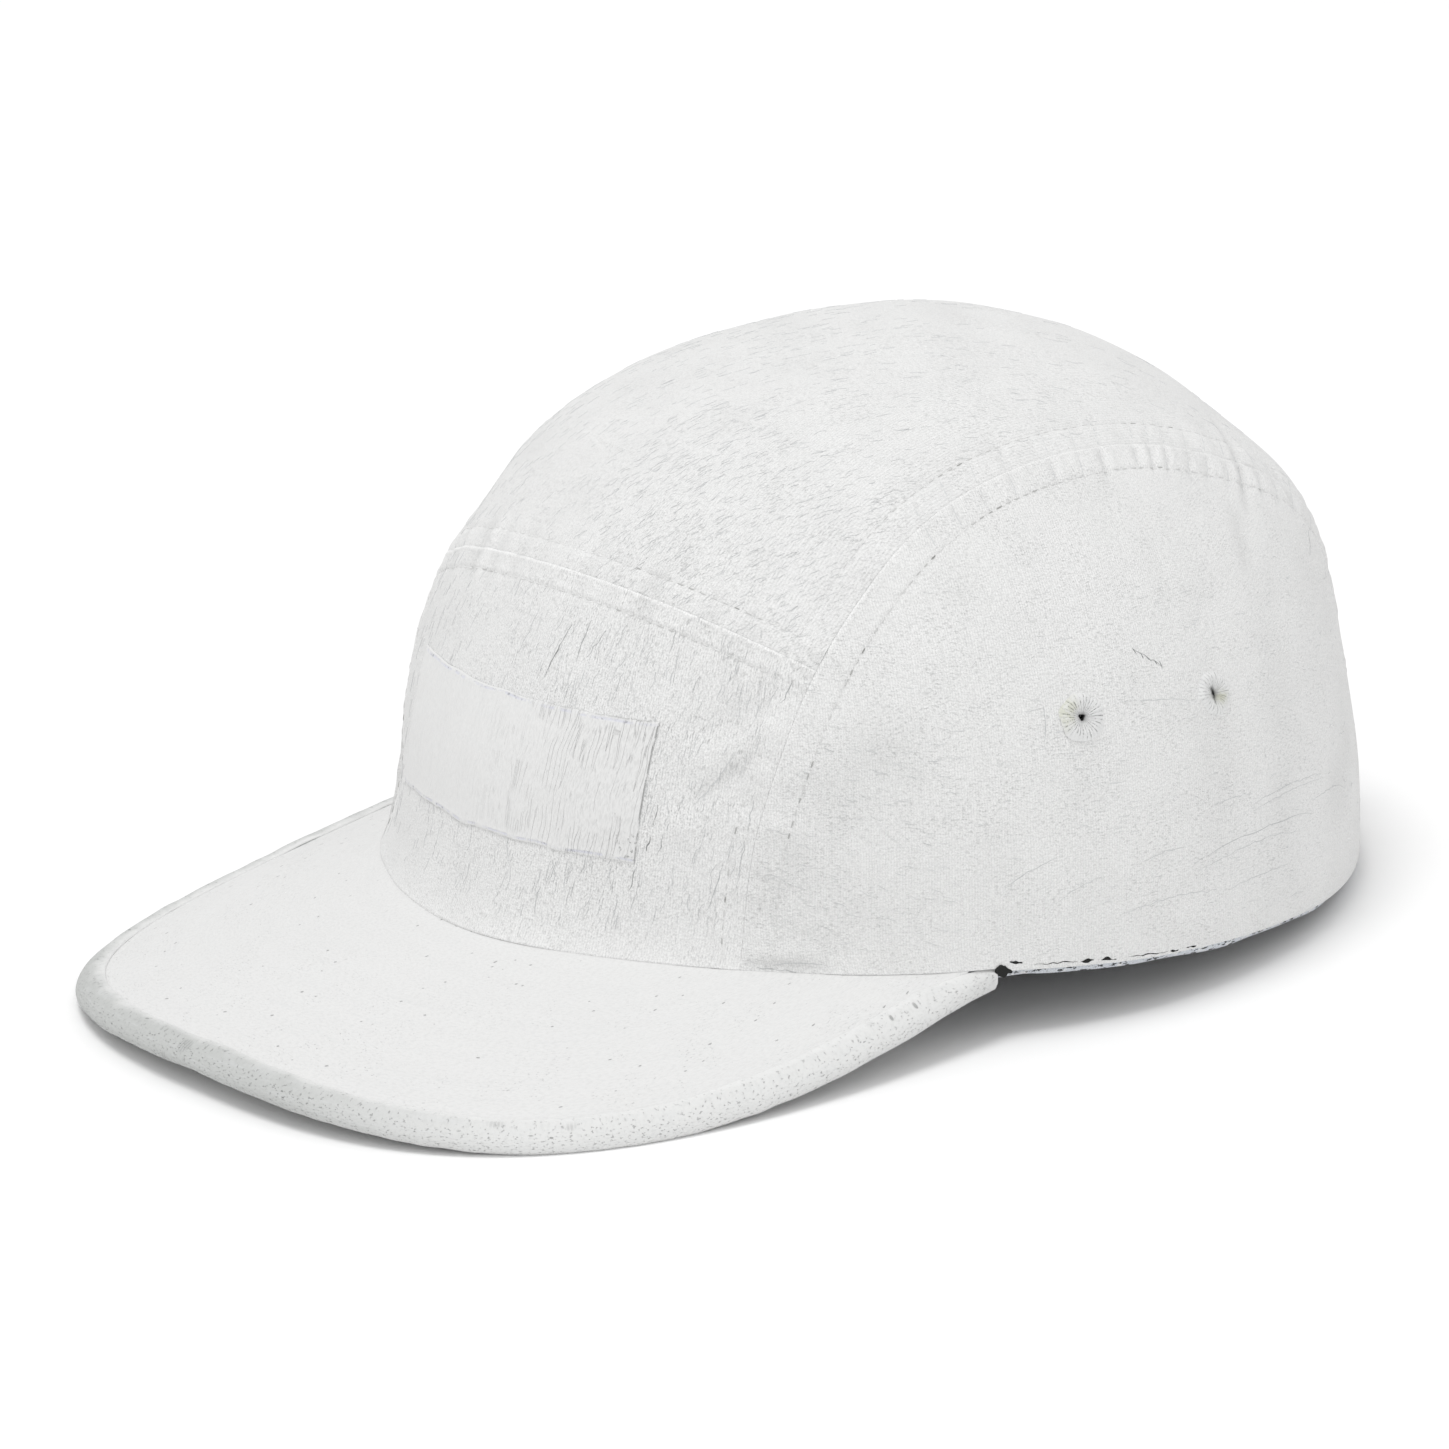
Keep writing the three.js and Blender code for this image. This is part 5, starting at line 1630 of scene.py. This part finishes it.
def buckle_piece(materials):
    """A flat loop round the strap, with softened edges."""
    count, soft = 120, 0.6
    half = BUCKLE_LENGTH / 2
    turn = np.linspace(0, math.pi / 2, 5)
    rounding = [(soft * (1 - math.sin(a)), -half + soft * (1 - math.cos(a))) for a in turn]
    rounding += [(inset, -z) for inset, z in reversed(rounding)]
    rings = []
    for inset, z in rounding:
        loop = box_loop(BUCKLE_DEPTH - 2 * inset, BUCKLE_HEIGHT - 2 * inset, max(1.0 - inset, 0.3), count)
        rings.append(np.column_stack([loop, np.full(count, z)]))
    for inset, z in reversed(rounding):
        loop = box_loop(BUCKLE_SLOT_DEPTH + inset, STRAP_WIDTH + 2 * GAP + inset, 0.3, count)
        rings.append(np.column_stack([loop, np.full(count, z)]))
    seat, normal = inside_crown(math.radians(BUCKLE_AROUND), STRAP_FOOT + STRAP_WIDTH / 2)
    along = unit(np.cross(normal, UP))
    upwards = np.cross(along, normal)
    sag = BUCKLE_LENGTH**2 / 8 / RIM_BACK
    centre = seat - normal * (STRAP_THICKNESS + sag) / 2
    basis = np.stack([normal, upwards, along])
    points = centre + np.concatenate(rings) @ basis
    return make_mesh("buckle_loop", points, ring_faces(len(rings), count), materials)


# Eyelets


def eyelet_piece(name, around, height, seed, looks, materials):
    """A ring of embroidery thread: its rim stands up, and its inner slope runs down to the hole."""
    steps = 192
    seat, normal = eyelet_seat(around, height)
    base, _ = relief(seat[None], "left" if around > 0 else "right", looks)
    angle = np.linspace(0, 2 * math.pi, steps, endpoint=False)
    ring = np.stack([np.cos(angle), np.sin(angle), 0 * angle], -1)
    torn = math.cos(math.radians(around)) > 0
    slit = 1 / np.hypot(ring[:, 0] / 0.14, ring[:, 1] / 0.62)
    hole = 0.40 + 0.12 * np.cos(3 * angle + math.pi * 1.5) if torn else slit
    hole = EYELET_HOLE * (hole + 0.06 * waves(ring, 1.2, seed))
    outer = EYELET_RADIUS * ((0.96 if torn else 0.86) + 0.045 * waves(ring, 0.5, seed + 1))
    section = rounded(EYELET_PROFILE, 28)
    share, up = section[:, 0], section[:, 1]
    radius = lerp(hole[None, :], outer[None, :], share[:, None])
    on_top = smooth((up + 0.1) / 0.4)[:, None]
    thread = np.abs(np.sin(angle * 22 + 0.5 * waves(ring, 0.7, seed + 2)))[None, :]
    uneven = waves(ring, 0.9, seed + 3)[None, :]
    rise = up[:, None] + on_top * (0.13 * (thread - 0.6) + 0.16 * uneven)
    along = unit(np.cross(UP, normal))
    over = np.cross(normal, along)
    spot = along * (radius * ring[:, 0])[..., None] + over * (radius * ring[:, 1])[..., None]
    points = seat + spot + normal * (rise + base[0])[..., None]
    across, level = radius * ring[:, 0], radius * ring[:, 1]
    if torn:
        bare = smooth(-0.5 - 1.4 * ring[:, 0] + 0.5 * ring[:, 1])[None, :] * smooth(radius - 1.2)
    else:
        bare = 1.2 * bell(across - 1.2, 1.8) * bell(level + 0.9, 1.2)
    # painted shade down the hole's throat and, on the rear eyelet, along its slit
    deep = bell(across + 0.4, 0.35) * smooth(2 - abs(level + 0.3)) * (0 if torn else 1)
    deep = np.maximum(deep, 1 - smooth(share[:, None] / 0.05))
    rayed = np.full(radius.shape, 1.0 if torn else 0.6)
    place = np.stack([np.broadcast_to(angle, radius.shape), radius], -1)
    return make_mesh(
        name, flat(points), ring_faces(*radius.shape), materials, None, {"UVMap": flat(place)},
        {"bare": bare.ravel(), "deep": deep.ravel(), "rayed": rayed.ravel()},
    )


# Stitches


def stitch_nodes():
    """Geometry nodes that lay a stitch on each point, along the cloth, then make them real."""
    tree = bpy.data.node_groups.new("Stitches", "GeometryNodeTree")
    sockets = {}
    for name, kind in (
        ("Geometry", "NodeSocketGeometry"), ("Length", "NodeSocketFloat"), ("Width", "NodeSocketFloat"),
        ("Unevenness", "NodeSocketFloat"), ("Seed", "NodeSocketInt"), ("Material", "NodeSocketMaterial"),
    ):
        sockets[name] = tree.interface.new_socket(name=name, in_out="INPUT", socket_type=kind).identifier
    tree.interface.new_socket(name="Geometry", in_out="OUTPUT", socket_type="NodeSocketGeometry")

    def add(kind, settings=None, inputs=None):
        made = tree.nodes.new(kind)
        for key, value in (settings or {}).items():
            setattr(made, key, value)
        for key, value in (inputs or {}).items():
            if isinstance(value, bpy.types.NodeSocket):
                tree.links.new(value, made.inputs[key])
            else:
                made.inputs[key].default_value = value
        return made

    given = add("NodeGroupInput").outputs
    along, outwards = (
        add("GeometryNodeInputNamedAttribute", {"data_type": "FLOAT_VECTOR"}, {"Name": name})
        for name in ("along", "out")
    )
    grain = add("GeometryNodeMeshUVSphere", None, {"Segments": 8, "Rings": 5, "Radius": 0.5})
    smooth_grain = add("GeometryNodeSetShadeSmooth", None, {"Geometry": grain.outputs["Mesh"]})
    width = given["Width"]
    size = add("ShaderNodeCombineXYZ", None, {"X": given["Length"], "Y": width, "Z": width})
    lengthways = add(
        "FunctionNodeAlignRotationToVector", {"axis": "X"}, {"Vector": along.outputs["Attribute"]}
    )
    upright = add(
        "FunctionNodeAlignRotationToVector", {"axis": "Z", "pivot_axis": "X"},
        {"Rotation": lengthways.outputs["Rotation"], "Vector": outwards.outputs["Attribute"]},
    )
    less = add("ShaderNodeMath", {"operation": "SUBTRACT"}, {0: 1.0, 1: given["Unevenness"]})
    more = add("ShaderNodeMath", {"operation": "ADD"}, {0: 1.0, 1: given["Unevenness"]})
    spread = add(
        "FunctionNodeRandomValue", {"data_type": "FLOAT"},
        {2: less.outputs[0], 3: more.outputs[0], "Seed": given["Seed"]},
    )
    scale = add(
        "ShaderNodeVectorMath", {"operation": "SCALE"},
        {"Vector": size.outputs["Vector"], "Scale": spread.outputs[1]},
    )
    laid = add(
        "GeometryNodeInstanceOnPoints", None,
        {
            "Points": given["Geometry"], "Instance": smooth_grain.outputs["Geometry"],
            "Rotation": upright.outputs["Rotation"], "Scale": scale.outputs["Vector"],
        },
    )
    real = add("GeometryNodeRealizeInstances", None, {"Geometry": laid.outputs["Instances"]})
    painted = add(
        "GeometryNodeSetMaterial", None,
        {"Geometry": real.outputs["Geometry"], "Material": given["Material"]},
    )
    out = add("NodeGroupOutput")
    tree.links.new(painted.outputs["Geometry"], out.inputs["Geometry"])
    return tree, sockets


def sewn_row(path, offset, panel, looks, dark, trim, seed):
    """Stitches at a distance beside a path: their places, their two directions and how bare each is."""
    count = max(int((path.length - 2 * trim) / (looks.stitch_pitch * MM)), 2)
    shares = np.linspace(trim / path.length, 1 - trim / path.length, count)
    points, normals = path.at(shares)
    along = unit(np.gradient(points, axis=0))
    beside = unit(np.cross(normals, along)) * offset
    laid, out = crown_cloth(CENTRE, unit(points + beside))
    height, _ = relief(laid, panel, looks)
    laid = laid + out * (height + STITCH_PROUD)[:, None]
    places, shown = np.array(dark, float).T
    share = np.interp(shares * path.length, places, shown)
    chance = np.random.default_rng(seed).uniform(0, 1, count)
    patchy = np.clip(0.8 + 0.6 * waves(laid, 12, seed), 0, 1.4)
    bare = np.clip(0.75 * share * patchy * (0.35 + 0.65 * chance) + 0.3 * (chance > 0.94), 0, 0.9)
    return laid, unit(np.gradient(laid, axis=0)), out, bare


def stitches_piece(name, rows, seed, looks, material):
    """Real stitches at the given places, as one plain mesh."""
    places, along, out, bare = (np.concatenate(values) for values in zip(*rows))
    mesh = bpy.data.meshes.new(name)
    mesh.from_pydata(rest(places).tolist(), [], [])
    for label, values in (("along", rest_direction(along)), ("out", rest_direction(out))):
        layer = mesh.attributes.new(label, "FLOAT_VECTOR", "POINT")
        layer.data.foreach_set("vector", values.astype(np.float32).ravel())
    mesh.attributes.new("bare", "FLOAT", "POINT").data.foreach_set("value", bare.astype(np.float32))
    points = add_object(name + "_places", mesh)
    tree, sockets = stitch_nodes()
    laid = points.modifiers.new("Stitches", "NODES")
    laid.node_group = tree
    laid[sockets["Length"]] = looks.stitch_length
    laid[sockets["Width"]] = looks.stitch_width
    laid[sockets["Unevenness"]] = 0.15
    laid[sockets["Seed"]] = seed
    laid[sockets["Material"]] = material
    bpy.context.view_layer.update()
    evaluated = points.evaluated_get(bpy.context.evaluated_depsgraph_get())
    plain = bpy.data.meshes.new_from_object(evaluated)
    plain.name = name
    bpy.data.objects.remove(points)
    if not plain.materials:
        plain.materials.append(material)
    return add_object(name, plain)


# Cracks in the paint, and lines of painted shade in the gathers


def slivers(lines, panel, widths, seed, looks):
    """Thin flat slivers along lines over the cloth, narrow at both ends, as rings of four points."""
    stations = lines.shape[1]
    line, out = crown_cloth(CENTRE, unit(lines))
    height, _ = relief(line, panel, looks)
    line = line + out * (height + CRACK_PROUD)[..., None]
    beside = np.cross(out, unit(np.gradient(line, axis=1)))
    share = np.linspace(0.02, 0.98, stations)
    half = widths[:, None] / 2 * np.sin(math.pi * share) ** 0.6
    half = half * np.clip(0.8 + 0.5 * waves(line, 1.5, seed), 0.15, 1.2)
    turn = np.linspace(0, 2 * math.pi, 4, endpoint=False)
    wide, tall = np.cos(turn)[:, None], 0.045 * np.sin(turn)[:, None]
    return line[:, :, None] + beside[:, :, None] * half[..., None, None] * wide + out[:, :, None] * tall


def crack_lines(starts, ways, lengths, bows, seed, stations):
    share = np.linspace(0, 1, stations)
    run = lengths[:, None] * share
    aside = unit(np.cross(unit(starts), ways))
    spots = np.stack([run, 3.7 * np.arange(len(run))[:, None] + 0 * run, 0 * run], -1)
    swing = 4 * bows[:, None] * share * (1 - share)
    swing = swing + 0.22 * waves(spots, 5.0, seed) + 0.14 * waves(spots, 1.6, seed + 1)
    return starts[:, None] + ways[:, None] * run[..., None] + aside[:, None] * swing[..., None]


def gather_shade_lines(seam, upwards):
    """Lines of painted shade in the hollows of the gathers, on one side of a side seam."""
    rows = np.array(PUCKERS)
    reach = np.minimum(rows[:, 4] if upwards else rows[:, 3], 7.5)
    across = 0.5 + (reach[:, None] - 0.5) * np.linspace(0, 1, 10)
    along = rows[:, :1] + (GATHER_LEAN if upwards else -GATHER_LEAN) * across
    points, normals = seam.at(along / seam.length)
    ahead, _ = seam.at((along + 0.5) / seam.length)
    beside = unit(np.cross(normals, ahead - points))
    outside = np.sign(beside[..., :1] * points[..., :1])
    return points + beside * outside * across[..., None] * (-1 if upwards else 1)


def field_starts(panel, first, second):
    """Points of a field on the crown and the way that the paint is brushed there."""
    if panel == "front":
        start = np.stack([first, 0 * first, second], -1)
        points, normals = crown_cloth(start, FORWARDS)
        ways = np.broadcast_to(UP, points.shape)
    elif panel == "top":
        turn = np.radians(second)
        start = np.stack([first, 0 * first, 0 * first], -1)
        points, normals = crown_cloth(start, np.stack([0 * turn, -np.cos(turn), np.sin(turn)], -1))
        ways = np.stack([0 * turn, np.sin(turn), np.cos(turn)], -1)
    else:
        points, normals = crown_cloth(CENTRE, unit(crown_at(np.radians(first), second)))
        ways = np.cross(UP, normals)
    ways = unit(ways - normals * (ways * normals).sum(-1, keepdims=True))
    return points, normals, ways


def all_cracks(looks):
    """Rings of every crack and of the lines of painted shade in the gathers' hollows, group by group, and
    how bare each crack is and how dark each line of shade.
    """
    for panel in ("front", "left"):
        rows = [row[1:] for row in CRACKS if row[0] == panel]
        starts, ends = (np.array([row[k] for row in rows], float) for k in (0, 1))
        bows, widths, dark = (np.array([row[k] for row in rows]) for k in (2, 3, 4))
        lengths = np.linalg.norm(ends - starts, axis=1)
        lines = crack_lines(starts, unit(ends - starts), lengths, bows, 200, 18)
        yield slivers(lines, panel, widths, 205, looks), dark
    for seed, (panel, count, first, second, lengths, lean, dark) in enumerate(CRACK_FIELDS):
        dice = np.random.default_rng(300 + seed)
        count = int(count * looks.wear)
        firsts, seconds = dice.uniform(*first, count), dice.uniform(*second, count)
        points, normals, ways = field_starts(panel, firsts, seconds)
        leans = np.radians(lean + dice.normal(0, 5, count))[:, None]
        side = np.cross(ways, normals)
        ways = ways * np.cos(leans) + side * np.sin(leans) * np.sign(side[:, :1] + 1e-9)
        bows, widths = dice.normal(0, 0.15, count), dice.uniform(0.07, 0.15, count)
        lines = crack_lines(points, ways, dice.uniform(*lengths, count), bows, 310 + seed, 5)
        yield slivers(lines, panel, widths, 320 + seed, looks), dark * dice.uniform(0.3, 1.0, count)
    # lines of painted shade in the gathers' hollows
    depth = np.array(PUCKERS)[:, 2]
    for seed, (seam, panel) in enumerate(
        ((LEFT_SEAM, "left"), (LEFT_SEAM, "top"), (RIGHT_SEAM, "right"), (RIGHT_SEAM, "top"))
    ):
        lines = gather_shade_lines(seam, panel == "top")
        strength = 0.12 if panel == "top" else 0.22
        yield slivers(lines, panel, 0.5 * depth + 0.1, 340 + seed, looks), strength * depth


def cracks_and_shade_piece(looks, material):
    points, faces, bare, start = [], [], [], 0
    for rings, dark in all_cracks(looks):
        count, stations, around = rings.shape[:3]
        size = stations * around
        last = size - around
        caps = np.array([[3, 2, 1, 0], [last, last + 1, last + 2, last + 3]])
        block = np.concatenate([grid_faces(stations, around, closed=True), caps])
        shifts = start + size * np.arange(count)
        points.append(flat(rings))
        faces.append(flat(block[None] + shifts[:, None, None]))
        bare.append(np.repeat(dark, size))
        start += count * size
    return make_mesh(
        "paint_cracks_and_gather_shade", np.concatenate(points), np.concatenate(faces), [material],
        masks={"bare": np.concatenate(bare)},
    )


# Settings, operators and panel


def colour_property(name, description, default):
    return FloatVectorProperty(
        name=name, description=description, subtype="COLOR", size=3, min=0.0, max=1.0, default=default
    )


def length_property(name, description, default, least=0.0):
    return FloatProperty(
        name=name, description=description, subtype="DISTANCE", unit="LENGTH", default=default, min=least,
        precision=5,
    )


class CapLooks(bpy.types.PropertyGroup):
    """What a user would change about the cap and its stage."""

    paint: colour_property("Paint", "White paint of the cloth", (0.80, 0.80, 0.795))
    # The fresh colour is also the painted highlight on ridges, pads and seams' lips.
    fresh_and_highlight: colour_property("Fresh paint", "Paint on ridges and fresh strokes", (0.88, 0.88, 0.875))
    paint_shade: colour_property(
        "Paint shade", "Thinner paint between brush strokes", (0.66, 0.67, 0.675)
    )
    # The dark colour is also used for painted shade in the cloth's hollows, seams' dips, gathers' hollows
    # and the eyelets' holes.
    dirt_and_shade: colour_property("Dirt", "Dark cloth and dirt in the cracks", (0.13, 0.135, 0.13))
    edge: colour_property("Edge", "Binding of the peak's edge", (0.52, 0.53, 0.52))
    border: colour_property("Border", "Woven line on the patch", (0.56, 0.57, 0.71))
    band: colour_property("Band", "Sweatband", (0.62, 0.65, 0.69))
    lining: colour_property("Lining", "Unpainted back of the cloth", (0.22, 0.24, 0.26))
    thread: colour_property("Thread", "Bare sewing thread", (0.20, 0.20, 0.19))
    olive: colour_property("Eyelet thread", "Bare embroidery thread", (0.56, 0.57, 0.42))
    buckle: colour_property("Buckle", "Moulded buckle", (0.76, 0.77, 0.78))
    floor: colour_property("Floor", "Floor and backdrop", (0.96, 0.96, 0.96))
    seam_depth: length_property("Seam depth", "Height given to the sewn seams' relief", 0.001)
    unevenness: length_property("Unevenness", "Slow waves in the cloth", 0.00022)
    stitch_length: length_property("Stitch length", "Length of one stitch", 0.0013)
    stitch_width: length_property("Stitch width", "Thickness of the thread", 0.00028)
    stitch_pitch: length_property("Stitch pitch", "From one stitch to the next", 0.0023, 0.0005)
    puckers: FloatProperty(name="Puckers", description="Strength of the gathers", default=1.0, min=0.0)
    wear: FloatProperty(name="Wear", description="Amount of cracks", default=1.0, min=0.0, max=3.0)
    light: FloatProperty(
        name="Light", description="Strength of the studio's lights", default=1.0, min=0.0
    )


class CAMPCAP_OT_panels(bpy.types.Operator):
    """Adds the front, top and side panels of the crown"""

    bl_idname = "campcap.panels"
    bl_label = "Add panels"

    def execute(self, context):
        looks = context.scene.camp_cap
        lining = lining_cloth(looks)
        cloth = painted_cloth(looks)
        settle(front_panel(looks, [cloth, lining]), "painted_cloth", "front_panel")
        settle(top_panel(looks, [cloth, lining]), "painted_cloth", "top_panel")
        settle(side_panel(1, looks, [cloth, lining]), "painted_cloth", "side_panel_left")
        settle(side_panel(-1, looks, [cloth, lining]), "painted_cloth", "side_panel_right")
        return {"FINISHED"}


class CAMPCAP_OT_patch(bpy.types.Operator):
    """Adds the patch on the front panel"""

    bl_idname = "campcap.patch"
    bl_label = "Add patch"

    def execute(self, context):
        looks = context.scene.camp_cap
        cloth = patch_cloth(looks)
        settle(patch_piece(looks, [cloth, cloth]), "patch_cloth", "patch")
        return {"FINISHED"}


class CAMPCAP_OT_peak(bpy.types.Operator):
    """Adds the peak and its rolled edge"""

    bl_idname = "campcap.peak"
    bl_label = "Add peak"

    def execute(self, context):
        looks = context.scene.camp_cap
        cloth = peak_cloth(looks)
        settle(peak_board([cloth, cloth]), "peak_cloth", "peak")
        settle(peak_edge([edge_cloth(looks)]), "peak_edge_cloth", "peak_edge")
        return {"FINISHED"}


class CAMPCAP_OT_sweatband(bpy.types.Operator):
    """Adds the sweatband inside the rim"""

    bl_idname = "campcap.sweatband"
    bl_label = "Add sweatband"

    def execute(self, context):
        looks = context.scene.camp_cap
        cloth = band_cloth(looks)
        settle(sweatband_piece([cloth, cloth]), "sweatband_cloth", "sweatband")
        return {"FINISHED"}


class CAMPCAP_OT_closure(bpy.types.Operator):
    """Adds the strap across the back opening and its buckle"""

    bl_idname = "campcap.closure"
    bl_label = "Add strap and buckle"

    def execute(self, context):
        looks = context.scene.camp_cap
        strap = webbing(looks)
        settle(strap_piece([strap, strap]), "webbing", "strap")
        settle(buckle_piece([plastic(looks)]), "buckle_plastic", "buckle")
        return {"FINISHED"}


class CAMPCAP_OT_eyelets(bpy.types.Operator):
    """Adds the four embroidered eyelets"""

    bl_idname = "campcap.eyelets"
    bl_label = "Add eyelets"

    def execute(self, context):
        looks = context.scene.camp_cap
        thread = eyelet_thread(looks)
        for seed, (name, around, height) in enumerate(EYELETS):
            piece = eyelet_piece(name + "_thread", around, height, 70 + 5 * seed, looks, [thread])
            settle(piece, "eyelet_thread", name)
        return {"FINISHED"}


class CAMPCAP_OT_stitches(bpy.types.Operator):
    """Adds the rows of stitches beside the seams"""

    bl_idname = "campcap.stitches"
    bl_label = "Add stitches"

    def execute(self, context):
        looks = context.scene.camp_cap
        thread = stitch_thread(looks)
        rows = []
        for seam, side in ((LEFT_SEAM, 1), (RIGHT_SEAM, -1)):
            panel = "left" if side > 0 else "right"
            front = seam.part(0, JUNCTION + 1)
            top = seam.part(JUNCTION, len(SEAM_TURNS))
            rows.append(sewn_row(seam, -side * SIDE_ROW, panel, looks, SIDE_THREAD, 3.0, 81))
            rows.append(sewn_row(front, side * FRONT_ROW, "front", looks, FRONT_THREAD, 5.0, 82))
            rows.append(sewn_row(top, side * SIDE_ROW, "top", looks, TOP_THREAD, 5.0, 83))
        rows.append(sewn_row(CROSS_SEAM, CROSS_ROW, "top", looks, CROSS_THREAD, 6.5, 84))
        rows.append(sewn_row(CROSS_SEAM, -CROSS_ROW, "front", looks, CROSS_THREAD, 6.5, 85))
        rows.append(sewn_row(ARCH, -ARCH_ROW, "top", looks, ARCH_THREAD, 2.0, 86))
        settle(stitches_piece("seam_stitches", rows, 7, looks, thread), "painted_cloth")
        return {"FINISHED"}


class CAMPCAP_OT_cracks(bpy.types.Operator):
    """Adds the cracks in the paint and the lines of painted shade in the gathers' hollows"""

    bl_idname = "campcap.cracks"
    bl_label = "Add cracks"

    def execute(self, context):
        looks = context.scene.camp_cap
        settle(cracks_and_shade_piece(looks, crack_and_shade_paint(looks)), "painted_cloth")
        return {"FINISHED"}


class CAMPCAP_OT_stage(bpy.types.Operator):
    """Adds the floor, the lights and the camera"""

    bl_idname = "campcap.stage"
    bl_label = "Add stage"

    def execute(self, context):
        looks = context.scene.camp_cap
        add_floor(looks)
        add_lights(looks)
        add_camera()
        return {"FINISHED"}


def add_floor(looks):
    board = Board("floor")
    place = board.place()
    grain = board.noise(place, 5.0, 2.0)
    colour = board.colour(grain, looks.floor, dimmed(looks.floor, 0.99))
    material = board.finish(colour, 0.005 * grain, 0.9, specular=0.1)
    mesh = bpy.data.meshes.new("floor")
    reach = FLOOR_REACH
    corners = [(-reach, -reach, 0), (reach, -reach, 0), (reach, reach, 0), (-reach, reach, 0)]
    mesh.from_pydata(corners, [], [(0, 1, 2, 3)])
    mesh.materials.append(material)
    add_object("floor", mesh)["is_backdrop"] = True


def add_lights(looks):
    world = bpy.data.worlds.new("studio")
    world.use_nodes = True
    background = world.node_tree.nodes["Background"]
    background.inputs["Color"].default_value = (1.0, 1.0, 1.0, 1.0)
    background.inputs["Strength"].default_value = WORLD_LIGHT * looks.light
    bpy.context.scene.world = world
    for name, place, size, power in LIGHTS:
        lamp = bpy.data.lights.new(name, "AREA")
        lamp.shape = "DISK"
        lamp.size = size
        lamp.energy = power * looks.light
        holder = add_object(name, lamp)
        holder.location = place
        aim = Vector((0, 0, 0.05)) - Vector(place)
        holder.rotation_euler = aim.to_track_quat("-Z", "Y").to_euler()
        holder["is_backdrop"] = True
    bpy.context.scene.view_settings.view_transform = "Standard"


def add_camera():
    """Sees the cap as the photograph does, from its place round the level rim."""
    a, e, r = (math.radians(x) for x in (CAMERA_AZIMUTH, CAMERA_ELEVATION, CAMERA_ROLL))
    back = np.array([math.sin(a) * math.cos(e), -math.cos(a) * math.cos(e), math.sin(e)])
    right = np.array([math.cos(a), math.sin(a), 0.0])
    up = np.cross(back, right)
    centre = right * CAMERA_ASIDE + up * CAMERA_UP + back * CAMERA_DISTANCE
    rolled_right = right * math.cos(r) + up * math.sin(r)
    rolled_up = up * math.cos(r) - right * math.sin(r)
    columns = [rest_direction(axis) for axis in (rolled_right, rolled_up, back)]
    matrix = Matrix.Identity(4)
    for k, column in enumerate([*columns, rest(centre)]):
        for row in range(3):
            matrix[row][k] = float(column[row])
    data = bpy.data.cameras.new("camera")
    data.lens = CAMERA_REACH / PHOTO_WIDTH * SENSOR_WIDTH
    data.sensor_width = SENSOR_WIDTH
    data.clip_start, data.clip_end = 0.05, 20.0
    camera = add_object("camera", data)
    camera.matrix_world = matrix
    bpy.context.scene.camera = camera


class CAMPCAP_PT_sidebar(bpy.types.Panel):
    """Lists the pieces and what can be changed about them"""

    bl_idname = "CAMPCAP_PT_sidebar"
    bl_label = "Camp cap"
    bl_space_type = "VIEW_3D"
    bl_region_type = "UI"
    bl_category = "Camp cap"

    def draw(self, context):
        for operator in OPERATORS:
            self.layout.operator(operator.bl_idname)
        for name in CapLooks.__annotations__:
            self.layout.prop(context.scene.camp_cap, name)


OPERATORS = (
    CAMPCAP_OT_panels, CAMPCAP_OT_patch, CAMPCAP_OT_peak, CAMPCAP_OT_sweatband,
    CAMPCAP_OT_closure, CAMPCAP_OT_eyelets, CAMPCAP_OT_stitches, CAMPCAP_OT_cracks,
    CAMPCAP_OT_stage,
)
CLASSES = (CapLooks, *OPERATORS, CAMPCAP_PT_sidebar)


def register():
    for cls in CLASSES:
        bpy.utils.register_class(cls)
    bpy.types.Scene.camp_cap = PointerProperty(type=CapLooks)


def unregister():
    del bpy.types.Scene.camp_cap
    for cls in reversed(CLASSES):
        bpy.utils.unregister_class(cls)


def main():
    register()
    bpy.ops.campcap.panels()
    bpy.ops.campcap.patch()
    bpy.ops.campcap.peak()
    bpy.ops.campcap.sweatband()
    bpy.ops.campcap.closure()
    bpy.ops.campcap.eyelets()
    bpy.ops.campcap.stitches()
    bpy.ops.campcap.cracks()
    bpy.ops.campcap.stage()
    boxes = {"cad": CAD_BOX, "visual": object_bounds()}
    plain = {name: [list(corner) for corner in corners] for name, corners in boxes.items()}


if __name__ == "__main__":
    main()
